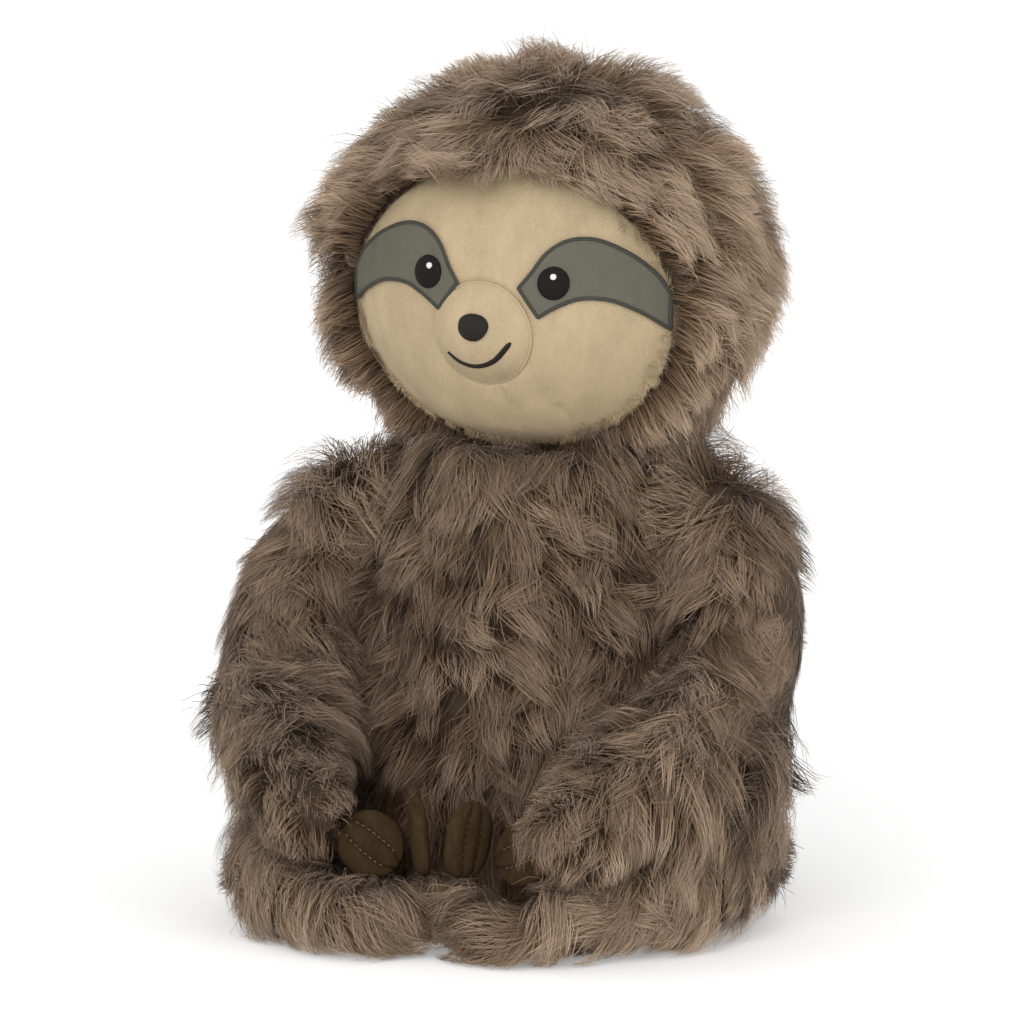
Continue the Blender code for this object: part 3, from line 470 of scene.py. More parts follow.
def grow(name, pelt, count, keep, comb, look, shade_at, seed, material, size_at=ones, lift_at=ones,
         gather=1.0, each=24, bare=None):
    """Long pile as tufts of flat strands, whose tips draw together.

    look has the length, rise, tuft radius, spread of angles and strand width, and
    size_at and lift_at scale the length and the rise from place to place. Each tuft has
    a guide; a strand goes from its own trail at the root to its guide's at the tip, by
    a share that gather scales. A strand whose root falls where bare says stands at its
    tuft's seed instead. Its colour's place in the map is (root to tip, shade).
    """
    length, rise, radius, spread, width = look
    rng = np.random.default_rng(seed)
    tufts = count // each
    seeds = pelt.scatter(rng, tufts, keep)
    point, _, _ = pelt.frame(seeds)
    placed = pelt.place(point)
    size = size_at(point)
    swell = drift(placed, 0.034, 5) + 0.6 * drift(placed, 0.015, 6)
    long = length * size * rng.uniform(0.75, 1.2, tufts)
    high = rise * lift_at(point) * size ** 0.6 * rng.uniform(0.65, 1.15, tufts) * (0.88 + 0.36 * swell)
    high = np.minimum(high, 0.92 * long)
    turn = rng.normal(0.0, spread, tufts) + 0.5 * drift(placed, 0.06, 7)
    turn += 0.3 * drift(placed, 0.022, 8)
    sway = 0.0038 * size * (drift(placed, 0.024, 9) + 0.35 * rng.normal(size=tufts))
    phase = rng.uniform(-0.6, 0.8, tufts)
    guide = trail(pelt, comb, seeds, turn, long, high, sway, phase)

    own = np.repeat(np.arange(tufts), each)
    number = len(own)
    offset = rng.normal(0.0, radius, (number, 3))
    state = pelt.walk(seeds[own], offset)
    if bare is not None:
        state = np.where(bare(pelt.frame(state)[0])[:, None], seeds[own], state)
    loose = rng.random(number) < 0.07
    angle = turn[own] + rng.normal(0.0, 0.15, number) + loose * rng.normal(0.0, 0.45, number)
    reach = long[own] * rng.uniform(0.7, 1.08, number)
    stand = np.minimum(high[own] * rng.uniform(0.75, 1.15, number) * (1 + 0.25 * loose), 0.95 * reach)
    trails = trail(pelt, comb, state, angle, reach, stand, sway[own], phase[own])
    share = np.linspace(0.0, 1.0, STEPS + 1)[None, :, None]
    pull = np.where(loose, 0.15, rng.uniform(0.5, 0.88, number))[:, None, None] * gather * share ** 1.25
    spray = 0.22 * offset[:, None] * share
    trails = trails * (1.0 - pull) + (guide[own] + spray) * pull
    trails += rng.normal(0.0, 0.00035, trails.shape) * share
    trails = pelt.place(trails)
    trails[..., 2] -= 0.0016 * share[..., 0] ** 2
    low = rng.uniform(0.0006, 0.0022, number)[:, None]
    trails[..., 2] = np.maximum(trails[..., 2], low)

    _, normal, _ = pelt.frame(state)
    facing = pelt.place(normal) - pelt.place(np.zeros((1, 3)))
    facing = unit(facing + rng.normal(0.0, 0.2, (number, 3)))
    along = unit(np.gradient(trails, axis=1))
    side = unit(np.cross(along, facing[:, None]))
    taper = (width * rng.uniform(0.7, 1.25, number))[:, None, None] * (1.0 - 0.6 * share[:, :-1])
    left = trails[:, :-1] - 0.5 * side[:, :-1] * taper
    right = trails[:, :-1] + 0.5 * side[:, :-1] * taper
    points = np.concatenate([left, right, trails[:, -1:]], axis=1)
    base = np.arange(number)[:, None] * points.shape[1]
    step = np.arange(STEPS - 1)
    quads = np.stack([base + step, base + STEPS + step, base + STEPS + step + 1, base + step + 1], axis=-1)
    tris = np.stack([base[:, 0] + STEPS - 1, base[:, 0] + 2 * STEPS - 1, base[:, 0] + 2 * STEPS], axis=-1)
    tone = 0.5 + (0.12 * rng.normal(size=tufts) + 0.13 * swell)[own] + 0.09 * rng.normal(size=number)
    tone = np.clip(tone + shade_at(placed)[own], 0.02, 0.98)
    at = 0.02 + 0.96 * np.arange(STEPS + 1) / STEPS
    quad_u = np.stack([at[step], at[step], at[step + 1], at[step + 1]], axis=-1)
    quad_v = tone[:, None, None] + UV_HALF * np.array((-1.0, 1.0, 1.0, -1.0))
    quad_uv = np.stack(np.broadcast_arrays(quad_u[None], quad_v), axis=-1)
    tri_u = np.array((at[-2], at[-2], at[-1]))
    tri_v = tone[:, None] + UV_HALF * np.array((-1.0, 1.0, 0.0))
    tri_uv = np.stack(np.broadcast_arrays(tri_u[None], tri_v), axis=-1)
    uvs = np.concatenate([quad_uv.reshape(-1, 2), tri_uv.reshape(-1, 2)])
    return make_mesh(name, points, quads.reshape(-1, 4), tris, material, np.clip(uvs, 0.001, 0.999))


def down(rows, share):
    """Downward direction of a share, one for each row."""
    return np.broadcast_to((0.0, 0.0, -share), rows.shape)


def rim_comb(point, normal, along):
    """Outwards from the face's middle."""
    return stacked(point[:, 0], 0.0, point[:, 2] - FACE_V)


def head_comb(point, normal, along):
    """Away from the crown, back at the sides, and outwards beside the face."""
    x, _, z = point.T[..., None]
    away = unit(point - CROWN)
    back = np.array((0.0, 1.0, 0.0)) * ease(np.abs(x) / 0.06) * 0.35
    out = unit(rim_comb(point, normal, along))
    beside = (1.0 - rising(face_reach(point)[:, None], 1.0, 0.30)) * falling(z, 0.05, 0.02)
    return away + back + down(point, 0.25) + 2.2 * beside * out


def torso_comb(point, normal, along):
    """Down, spreading a little from the middle, and outwards on top under the head."""
    x, _, z = point.T[..., None]
    spread = stacked(6.0 * point[:, 0], 0.0, 0.0)
    out = unit((point - NECK) * (1.0, 1.0, 0.0))
    over = unit(stacked(point[:, 0], 0.0, 0.0))
    top = rising(z, 0.160, 0.012)
    beside = rising(np.abs(x), 0.035, 0.02) * rising(z, 0.140, 0.02)
    return down(point, 1.0) + 0.35 * spread + 1.2 * top * out + 1.5 * beside * over


def arm_comb(point, normal, along):
    """Along the arm to the hand and down, and over the seam at the shoulder's top."""
    x, _, z = point.T[..., None]
    root = (1.0 - rising(np.abs(x), 0.066, 0.014)) * rising(z, 0.130, 0.02)
    back = stacked(-np.sign(point[:, 0]), 0.0, 0.0)
    return (1.0 - root) * 0.75 * along + down(point, 0.6) + 1.6 * root * back


def leg_comb(point, normal, along):
    """Along the leg, down and out from the lap, and inwards round the foot."""
    x, y, _ = point.T[..., None]
    foot = falling(np.abs(x), 0.046, 0.02) * falling(y, -0.08, 0.01)
    inward = stacked(-np.sign(point[:, 0]), -0.35, -0.2)
    lap = unit(stacked(-point[:, 0], -0.045 - point[:, 1], 0.0))
    inner = rising((normal * lap).sum(axis=1, keepdims=True), 0.1, 0.4)
    out = (1.0 - 2.0 * inner) * unit(stacked(point[:, 0], point[:, 1] + 0.02, 0.0))
    return (1.0 - foot) * (0.55 * along + 0.55 * out) + down(point, 0.25) + foot * inward


# How long and how high the pile stands from place to place, and how light it is, with painted light
# on the head's top and the shoulders and painted shade in the lap. The head's size and lift read its own
# frame, and all else reads the row frame.


def head_size(point):
    """Shorter at the face's edge, over the brow and low down, with one lock on the brow."""
    x, _, z = point.T
    edge = rising(face_reach(point), 1.0, 0.35)
    brow = (1.0 - edge) * (z > 0.03)
    lock = np.exp(-((x + 0.010) / 0.009) ** 2) * brow
    return (0.68 + 0.32 * edge - 0.14 * brow + lock) * (0.72 + 0.28 * rising(z, -0.075, 0.03))


def head_lift(point):
    """Higher on top and beside the face, most on the toy's right."""
    x, _, z = point.T
    side = falling(z, 0.045, 0.02) * rising(z, -0.07, 0.03)
    beside = (0.55 + 0.5 * falling(x, -0.02, 0.03)) * side
    return 1.0 + 0.22 * rising(z, 0.055, 0.015) + beside * (1.0 - rising(face_reach(point), 1.0, 0.5))


def head_tone(point):
    """Lighter on top, where painted light stands in for light on the crown's pile, and lighter on the toy's
    left.
    """
    x, _, z = point.T
    # The 0.10 step on top is painted light.
    return 0.08 + 0.10 * rising(z, 0.17, 0.02) + 0.14 * rising(x, 0.01, 0.05)


def torso_size(point):
    """Shorter near the floor and longer under the head."""
    z = point[:, 2]
    return 1.0 - 0.35 * falling(z, 0.03, 0.03) + 0.15 * rising(z, 0.150, 0.02)


def torso_lift(point):
    """Higher under the head, but not below the chin, and at the flanks."""
    x, y, z = point.T
    flank = rising(np.abs(x), 0.044, 0.010) * falling(z, 0.15, 0.01)
    chin = falling(np.abs(x), 0.050, 0.02) * falling(y, 0.02, 0.02)
    return 1.0 + (1.0 - 1.25 * chin) * rising(z, 0.150, 0.018) + 0.5 * flank


def torso_tone(point):
    """Darker towards the lap, which is painted shade in the hollow under the arms, and lighter under the
    head.
    """
    _, y, z = point.T
    # The lap's darkening is painted shade.
    lap = np.clip((0.10 - z) / 0.10, 0.0, 1.0) * (y < 0.0)
    return -0.25 - 0.46 * lap + 0.12 * rising(z, 0.150, 0.02)


def arm_hang(point):
    """Share of the pile that hangs under the left elbow."""
    x, _, z = point.T
    return rising(x, 0.078, 0.015) * falling(z, 0.088, 0.012)


def arm_size(point, cuff, wrist):
    """Shorter round the wrist and outside the left arm, longer under the left elbow."""
    x, _, z = point.T
    away = rising(np.linalg.norm(point - wrist, axis=1), 0.014, 0.030)
    outside = rising(x, 0.086, 0.014) * rising(z, 0.110, 0.02)
    return cuff + (1.0 - cuff) * away + 0.7 * arm_hang(point) - 0.33 * outside


def arm_lift(point, crown, slim):
    """Higher on the shoulder, on the inner side and under the left elbow, lower off the elbow."""
    out, z = np.abs(point[:, 0]), point[:, 2]
    top = rising(z, 0.146, 0.018)
    inner = falling(out, 0.082, 0.008) * falling(z, 0.135, 0.015)
    elbow = rising(out, 0.086, 0.014) * rising(z, 0.080, 0.02) * (1.0 - top)
    full = crown * (1.0 - 0.85 * rising(out, 0.074, 0.010))
    return 1.0 + full * top + 0.6 * inner - slim * elbow + 1.25 * arm_hang(point)


def arm_tone(point):
    """Lighter on the shoulder as painted light on its standing pile, lighter towards the hand, and the
    right arm darker.
    """
    x, y, z = point.T
    # The 0.14 step on the shoulder is painted light.
    return 0.14 * rising(z, 0.146, 0.015) + 0.12 * falling(y, -0.02, 0.05) - np.where(x > 0.0, 0.18, 0.27)


def leg_size(point):
    """Shorter at the floor outside and on top inside, longer at the floor between the feet."""
    out, z = np.abs(point[:, 0]), point[:, 2]
    near = 1.0 - rising(out, 0.03, 0.02)
    high = rising(z, 0.020, 0.008) * (out < 0.030)
    foot = (1.0 - near) * falling(z, 0.016, 0.012)
    skirt = near * falling(z, 0.022, 0.006)
    return 1.1 - 0.3 * near - 0.15 * high - 0.75 * foot + 0.75 * skirt


def leg_lift(point):
    """Lower at the floor."""
    return 1.0 - 0.72 * falling(point[:, 2], 0.018, 0.012)


def leg_tone(point):
    """Lighter on the toy's left."""
    return -0.11 + 0.22 * rising(point[:, 0], 0.01, 0.03)


def put(tree, kind, links=(), **values):
    """Adds a shader node, sets its values and links its inputs."""
    item = tree.nodes.new(kind)
    for key, value in values.items():
        if hasattr(item, key):
            setattr(item, key, value)
        else:
            item.inputs[key.replace("_", " ")].default_value = value
    for socket, source in links:
        tree.links.new(source, item.inputs[socket])
    return item


def ramp(tree, source, stops):
    """Colour ramp with the given places and colours."""
    item = put(tree, "ShaderNodeValToRGB", [("Fac", source)])
    marks = item.color_ramp.elements
    while len(marks) < len(stops):
        marks.new(0.5)
    for element, (place, colour) in zip(marks, stops):
        element.position = place
        element.color = (*colour, 1.0)
    return item.outputs["Color"]


def new_material(name, roughness, sheen=0.0, specular=0.3):
    """Material with its Principled shader, and its node tree."""
    material = bpy.data.materials.new(name)
    material.use_nodes = True
    tree = material.node_tree
    shader = tree.nodes["Principled BSDF"]
    shader.inputs["Roughness"].default_value = roughness
    shader.inputs["Specular IOR Level"].default_value = specular
    shader.inputs["Sheen Weight"].default_value = sheen
    shader.inputs["Sheen Roughness"].default_value = 0.4
    return material, tree, shader


def scaled(colour, share, warm=1.0):
    """Colour times a share, and warmer where warm is under one."""
    return tuple(min(1.0, part * share * warm ** step) for step, part in enumerate(colour))


def maths(tree, operation, first, second):
    """Output of a math node, whose inputs are each a socket or a number."""
    item = put(tree, "ShaderNodeMath", operation=operation)
    for place, value in enumerate((first, second)):
        if isinstance(value, float):
            item.inputs[place].default_value = value
        else:
            tree.links.new(value, item.inputs[place])
    return item.outputs[0]


def effect_group(name, inputs, build):
    """Node group by name, made on first use, which puts out a colour and a bumped normal.

    The colour is the one put in times a gain. build makes the gain and the normal from
    the group's inputs and the place on the object.
    """
    if name in bpy.data.node_groups:
        return bpy.data.node_groups[name]
    group = bpy.data.node_groups.new(name, "ShaderNodeTree")
    for word, kind in (("Colour", "Color"), *inputs):
        group.interface.new_socket(word, in_out="INPUT", socket_type=f"NodeSocket{kind}")
    for word, kind in (("Colour", "Color"), ("Normal", "Vector")):
        group.interface.new_socket(word, in_out="OUTPUT", socket_type=f"NodeSocket{kind}")
    source = put(group, "NodeGroupInput").outputs
    gain, normal = build(group, source, put(group, "ShaderNodeTexCoord").outputs["Object"])
    colour = put(group, "ShaderNodeVectorMath", [(0, source["Colour"]), ("Scale", gain)], operation="SCALE")
    put(group, "NodeGroupOutput", [("Colour", colour.outputs["Vector"]), ("Normal", normal)])
    return group


def pile_effect(group, source, place):
    """Mottled short pile: a gain of 1 + mottle * (blotch + grain - 1), and the grain as bump."""
    brushed = put(group, "ShaderNodeMapping", [("Vector", place)], Scale=(1.0, 1.0, 0.4)).outputs[0]
    blotch = put(group, "ShaderNodeTexNoise", [("Vector", brushed), ("Scale", source["Blotch Scale"])],
                 Detail=4.0, Roughness=0.6).outputs["Fac"]
    grain = put(group, "ShaderNodeTexNoise", [("Vector", place), ("Scale", source["Grain Scale"])],
                Detail=2.0, Roughness=0.6).outputs["Fac"]
    middle = maths(group, "SUBTRACT", maths(group, "ADD", blotch, grain), 1.0)
    gain = maths(group, "ADD", maths(group, "MULTIPLY", middle, source["Mottle"]), 1.0)
    bump = put(group, "ShaderNodeBump", [("Height", grain), ("Strength", source["Bump"])], Distance=0.0006)
    return gain, bump.outputs["Normal"]


def thread_effect(group, source, place):
    """Threads of satin stitch side by side: a wave as a gain from 0.7 to 1.25, which is painted shade in
    the grooves and painted light on the ridges, and as bump.
    """
    turned = put(group, "ShaderNodeMapping", [("Vector", place), ("Rotation", source["Turn"])]).outputs[0]
    wave = put(group, "ShaderNodeTexWave", [("Vector", turned)], bands_direction="Z", Scale=390.0,
               Distortion=1.2, Detail=1.0, Detail_Scale=0.6).outputs["Fac"]
    # The gain is painted shade between the threads and painted light on their ridges.
    gain = put(group, "ShaderNodeMapRange", [("Value", wave)], To_Min=0.7, To_Max=1.25).outputs[0]
    bump = put(group, "ShaderNodeBump", [("Height", wave)], Distance=0.0003, Strength=0.6)
    return gain, bump.outputs["Normal"]


def effect_material(name, colour, group, values, roughness, sheen, specular):
    """Material whose colour and normal come from a node group with the given values."""
    material, tree, shader = new_material(name, roughness, sheen, specular)
    item = put(tree, "ShaderNodeGroup", node_tree=group)
    item.inputs["Colour"].default_value = (*colour, 1.0)
    for socket, value in values.items():
        item.inputs[socket].default_value = value
    tree.links.new(item.outputs["Colour"], shader.inputs["Base Color"])
    tree.links.new(item.outputs["Normal"], shader.inputs["Normal"])
    return material


def cloth_material(name, colour, roughness, mottle, blotch, grain, bump, sheen=0.0, specular=0.3):
    """Short-pile cloth of one colour."""
    values = {"Mottle": mottle, "Blotch Scale": blotch, "Grain Scale": grain, "Bump": bump}
    group = effect_group("short_pile", [(word, "Float") for word in values], pile_effect)
    return effect_material(name, colour, group, values, roughness, sheen, specular)


def thread_material(name, colour, turn=(0.0, 0.0, 0.0)):
    """Satin-stitched thread of one colour."""
    group = effect_group("satin_stitch", [("Turn", "Vector")], thread_effect)
    return effect_material(name, colour, group, {"Turn": turn}, roughness=0.6, sheen=0.0, specular=0.15)


def fur_material(name, tones):
    """Pile coloured from root to tip, between a dark and a pale strand."""
    material, tree, shader = new_material(name, roughness=0.62, sheen=0.15, specular=0.25)
    spot = put(tree, "ShaderNodeUVMap", uv_map="OFBake").outputs["UV"]
    parts = put(tree, "ShaderNodeSeparateXYZ", [("Vector", spot)]).outputs
    mix = put(tree, "ShaderNodeMix", [(0, parts["Y"])], data_type="RGBA")
    for socket, share, warm in ((6, 0.34, 0.80), (7, 1.50, 1.0)):
        stops = [(place, scaled(tone, share, warm)) for place, tone in zip((0.0, 0.4, 0.85), tones)]
        tree.links.new(ramp(tree, parts["X"], stops), mix.inputs[socket])
    tree.links.new(mix.outputs[2], shader.inputs["Base Color"])
    return material


def colour_prop(name, words, value):
    """Colour property with a default."""
    return bpy.props.FloatVectorProperty(name=name, description=words, default=value, subtype="COLOR",
                                         size=3, min=0.0, max=1.0)


def length_prop(name, words, value):
    """Length property in metres with a default."""
    return bpy.props.FloatProperty(name=name, description=words, default=value, unit="LENGTH",
                                   subtype="DISTANCE", min=0.0, precision=4)


class SlothFur(bpy.types.PropertyGroup):
    """Pile of the pelts."""

    length: length_prop("Pile length", "Length of the body's strands", 0.0225)
    head_length: length_prop("Head pile length", "Length of the head's strands", 0.025)
    rise: length_prop("Rise", "Height of the strands' tips over the pelt", 0.0115)
    tuft: length_prop("Tuft", "Spread of a tuft's roots", 0.0030)
    width: length_prop("Strand width", "Width of a strand at its root", 0.00036)
    strands: bpy.props.IntProperty(name="Strands", description="Strands in all", default=250000, min=1000)
    root: colour_prop("Root", "Colour of the pile at the root", (0.045, 0.023, 0.010))
    middle: colour_prop("Middle", "Colour of the pile halfway up", (0.190, 0.121, 0.069))
    tip: colour_prop("Tip", "Colour of the pile at the tips", (0.39, 0.290, 0.203))
    backing: colour_prop("Backing", "Colour of the pelt under the pile", (0.060, 0.040, 0.025))


class SlothFace(bpy.types.PropertyGroup):
    """Cloth and thread of the face, and the paws."""

    velboa: colour_prop("Velboa", "Colour of the face and muzzle", (0.505, 0.393, 0.246))
    felt: colour_prop("Felt", "Colour of the eye patches", (0.136, 0.129, 0.099))
    border: colour_prop("Border", "Colour of the stitches round the patches", (0.066, 0.066, 0.056))
    eye: colour_prop("Eye", "Colour of the eyes' thread", (0.009, 0.008, 0.007))
    nose: colour_prop("Nose", "Colour of the nose and mouth", (0.022, 0.0185, 0.016))
    glint: colour_prop("Glint", "Colour of the eyes' glints", (0.85, 0.85, 0.82))
    suede: colour_prop("Suede", "Colour of the claws", (0.050, 0.0315, 0.0150))
    topstitch: colour_prop("Topstitch", "Colour of the claws' stitches", (0.22, 0.16, 0.10))


class SlothStage(bpy.types.PropertyGroup):
    """Camera and light."""

    azimuth: bpy.props.FloatProperty(name="Azimuth", description="Camera's way round the toy",
                                     default=math.radians(19.0), unit="ROTATION")
    elevation: bpy.props.FloatProperty(name="Elevation", description="Camera's height angle",
                                       default=math.radians(8.5), unit="ROTATION")
    distance: length_prop("Distance", "Camera's distance", 3.0)
    lens: bpy.props.FloatProperty(name="Lens", description="Focal length in millimetres", default=274.2)
    key: bpy.props.FloatProperty(name="Key", description="Strength of the key sun", default=1.28)
    fill: bpy.props.FloatProperty(name="Fill", description="Strength of the fill sun", default=0.62)
    sky: bpy.props.FloatProperty(name="Sky", description="Strength of the plain sky", default=0.72)


def settings():
    """The three groups of settings."""
    scene = bpy.context.scene
    return scene.sloth_fur, scene.sloth_face, scene.sloth_stage


def shared(name, make, *values, **finish):
    """Material by name, made on first use."""
    return bpy.data.materials.get(name) or make(name, *values, **finish)


def fur_shared():
    """Material of the long pile."""
    fur = settings()[0]
    return shared("long_pile", fur_material, (fur.root, fur.middle, fur.tip))


def backing_shared():
    """Material of the pelts' cloth."""
    return shared("pelt_backing", cloth_material, settings()[0].backing, roughness=0.9, mottle=0.5,
                  blotch=90.0, grain=900.0, bump=0.6)


class SLOTH_OT_head(bpy.types.Operator):
    """Pelt and long pile of the head."""

    bl_idname = "sloth.head"
    bl_label = "Head pelt"

    def execute(self, context):
        fur = settings()[0]
        pelt = closed_loft("head_pelt", head_place(head_rings()), head_place((0.0, -0.03, FACE_V)),
                           head_place(PELT_CENTRE + (0.0, PELT[1], 0.0)), backing_shared())
        finish_piece(pelt, "head", ("head_cover",))

        look = (fur.head_length, 1.06 * fur.rise, 1.35 * fur.tuft, 0.32, fur.width)
        number = int(HEAD_SHARE * fur.strands) // 3
        parts = (("left", lambda p: (p[:, 0] > 0) & (p[:, 1] < 0.03)),
                 ("right", lambda p: (p[:, 0] <= 0) & (p[:, 1] < 0.03)),
                 ("back", lambda p: p[:, 1] >= 0.03))
        for order, (word, part) in enumerate(parts):
            item = grow(f"head_fur_{word}", Dome(), number,
                        lambda p, part=part: (face_reach(p) > 1.008) & part(p), head_comb, look, head_tone,
                        11 + order, fur_shared(), head_size, head_lift, gather=1.07, each=48,
                        bare=lambda p: face_reach(p) < 1.0)
            finish_piece(item, "head")

        # The rim's pile has a darker tone: partly the band's own darker fibres, partly painted shade on the
        # fur's inner wall round the face.
        rim_look = (0.0125, 0.0085, 0.0010, 0.12, 1.2 * fur.width)
        item = grow("head_rim_fur", Dome(SKIN + 0.0004, 0.0 * SKIN), 6000,
                    lambda p: (face_reach(p) > 0.985) & (face_reach(p) < 1.03), rim_comb, rim_look,
                    lambda p: np.full(len(p), -0.12), 15, fur_shared())
        finish_piece(item, "head")
        return {"FINISHED"}


class SLOTH_OT_torso(bpy.types.Operator):
    """Pelt and long pile of the torso."""

    bl_idname = "sloth.torso"
    bl_label = "Torso pelt"

    def execute(self, context):
        fur = settings()[0]
        rings = torso_rings()
        top = NECK + (rings[-1] - NECK) * (0.9, 0.9, 1.0) + (0.0, 0.0, 0.0015)
        dish = NECK + (top - NECK) * (0.55, 0.55, 1.0) - (0.0, 0.0, 0.002)
        rings = np.concatenate([rings, top[None], dish[None]])
        pelt = closed_loft("torso_pelt", rings, (0.0, TORSO_Y, 0.0), NECK - (0.0, 0.0, NECK_RADIUS),
                           backing_shared())
        finish_piece(pelt, "torso", ("torso_cover",))

        def off_seams(point):
            far = np.abs(point[:, 0]) > 0.050
            shoulder = np.hypot(*(point - SHOULDER)[:, 1:].T) < SHOULDER_OPEN
            hip = np.hypot(*(point - HIP)[:, 1:].T) < HIP_OPEN
            return ~(far & (shoulder | hip)) & (point[:, 2] > 0.002)

        look = (fur.length, fur.rise, 1.2 * fur.tuft, 0.36, fur.width)
        number = int(TORSO_SHARE * fur.strands) // 2
        parts = (("front", lambda p: p[:, 1] < 0.019), ("back", lambda p: p[:, 1] >= 0.019))
        for order, (word, part) in enumerate(parts):
            item = grow(f"torso_fur_{word}", Tube(rings), number,
                        lambda p, part=part: off_seams(p) & part(p), torso_comb, look, torso_tone,
                        21 + order, fur_shared(), torso_size, torso_lift, gather=1.05, each=36)
            finish_piece(item, "torso")
        return {"FINISHED"}


def limb_pelt(limb, word, rings):
    """Closed pelt of a limb in place of its cover. Gives the middle of its last ring."""
    first, last = rings[0].mean(axis=0), rings[-1].mean(axis=0)
    pelt = closed_loft(f"{limb}_pelt_{word}", rings, first, last, backing_shared())
    finish_piece(pelt, f"{word}_{limb}", (f"{limb}_cover_{word}",))
    return last


class SLOTH_OT_arms(bpy.types.Operator):
    """Pelts and long pile of both arms."""

    bl_idname = "sloth.arms"
    bl_label = "Arm pelts"

    def execute(self, context):
        fur = settings()[0]
        look = (fur.length, 0.85 * fur.rise, 1.2 * fur.tuft, 0.36, fur.width)
        number = int(ARM_SHARE * fur.strands)
        parts = (("upper", lambda p: p[:, 1] >= -0.018), ("fore", lambda p: p[:, 1] < -0.018))
        for order, (word, side, reach, cuff, crown, slim) in enumerate(ARMS):
            rings = limb_rings(ARM_ROUTE, reach, side, 45)
            size = partial(arm_size, cuff=cuff, wrist=limb_pelt("arm", word, rings))
            lift = partial(arm_lift, crown=crown, slim=slim)
            for part, (where, keep) in enumerate(parts):
                item = grow(f"{where}arm_fur_{word}", Tube(rings), number, keep, arm_comb, look, arm_tone,
                            31 + 2 * order + part, fur_shared(), size, lift, gather=1.05, each=36)
                finish_piece(item, f"{word}_arm")
        return {"FINISHED"}


class SLOTH_OT_legs(bpy.types.Operator):
    """Pelts and long pile of both legs."""

    bl_idname = "sloth.legs"
    bl_label = "Leg pelts"

    def execute(self, context):
        fur = settings()[0]
        look = (0.95 * fur.length, 0.85 * fur.rise, fur.tuft, 0.36, fur.width)
        number = int(LEG_SHARE * fur.strands)
        for order, (word, side) in enumerate(SIDES):
            rings = limb_rings(LEG_ROUTE, (), side, 48)
            last = limb_pelt("leg", word, rings)
            cap = [last + (rings[-1] - last) * share for share in (0.75, 0.45)]
            item = grow(f"leg_fur_{word}", Tube(np.concatenate([rings, cap])), number,
                        lambda p: p[:, 2] > 0.0, leg_comb, look, leg_tone, 41 + order, fur_shared(),
                        leg_size, leg_lift)
            finish_piece(item, f"{word}_leg")
        return {"FINISHED"}


def oval_disc(name, outline, low, high, shares, sides, material):
    """Sewn-on disc over the face: rings of an outline at two heights, joined at the rim."""
    turn = turns(sides)
    rings = []
    for shares_now, height in ((shares, high), (shares[::-1], low)):
        for share in shares_now:
            across, up = outline(share, turn)
            rings.append(face_point(across, up, height(across, up)))
    middle = [row[:1] for row in outline(0.0, turn)]
    first, last = (face_point(*middle, height(*middle)) for height in (high, low))
    return closed_loft(name, rings, first, last, material)


def oval(across, up, half_width, half_height, square=0.0):
    """Outline of an oval, wider above its middle by a share."""
    def outline(share, turn):
        wide = half_width * (1.0 + square * np.sin(turn)) * np.cos(turn)
        return across + share * wide, up + share * half_height * np.sin(turn)
    return outline


def dome(across, up, half_width, half_height, low, edge, swell, power=0.6):
    """Height of a dome over an oval, above the height low."""
    def height(place_across, place_up):
        reach = ((place_across - across) / half_width) ** 2 + ((place_up - up) / half_height) ** 2
        return low(place_across, place_up) + edge + swell * np.clip(1.0 - reach, 0.0, 1.0) ** power
    return height


def level(height):
    """Height that is the same everywhere."""
    return lambda across, up: np.full(np.shape(across), height)


def raised(low, step):
    """Height a step above another."""
    return lambda across, up: low(across, up) + step


def muzzle_top(across, up):
    """Height of the padded muzzle over the skin."""
    ring = np.hypot(across - MUZZLE_U, up - MUZZLE_V) / MUZZLE_RADIUS
    seam = 0.00035 * np.exp(-((ring - 0.965) / 0.012) ** 2)
    return dome(MUZZLE_U, MUZZLE_V, MUZZLE_RADIUS, MUZZLE_RADIUS, level(PANEL_TOP), 0.0003,
                MUZZLE_SWELL - 0.0008, 1.05)(across, up) - seam


def panel_top(across, up):
    """Height of the face panel over the skin, sunk round the muzzle and along the darts."""
    ring = np.hypot(across - MUZZLE_U, up - MUZZLE_V) - MUZZLE_RADIUS
    height = PANEL_TOP - 0.0007 * np.exp(-(ring / 0.0012) ** 2)
    for start, end in DARTS:
        way = np.subtract(end, start)
        share = np.clip(((across - start[0]) * way[0] + (up - start[1]) * way[1]) / (way @ way), 0.0, 1.0)
        gap = np.hypot(across - start[0] - share * way[0], up - start[1] - share * way[1])
        height = height - 0.0010 * (1.0 - 0.6 * share) * np.exp(-(gap / 0.0009) ** 2)
    return height


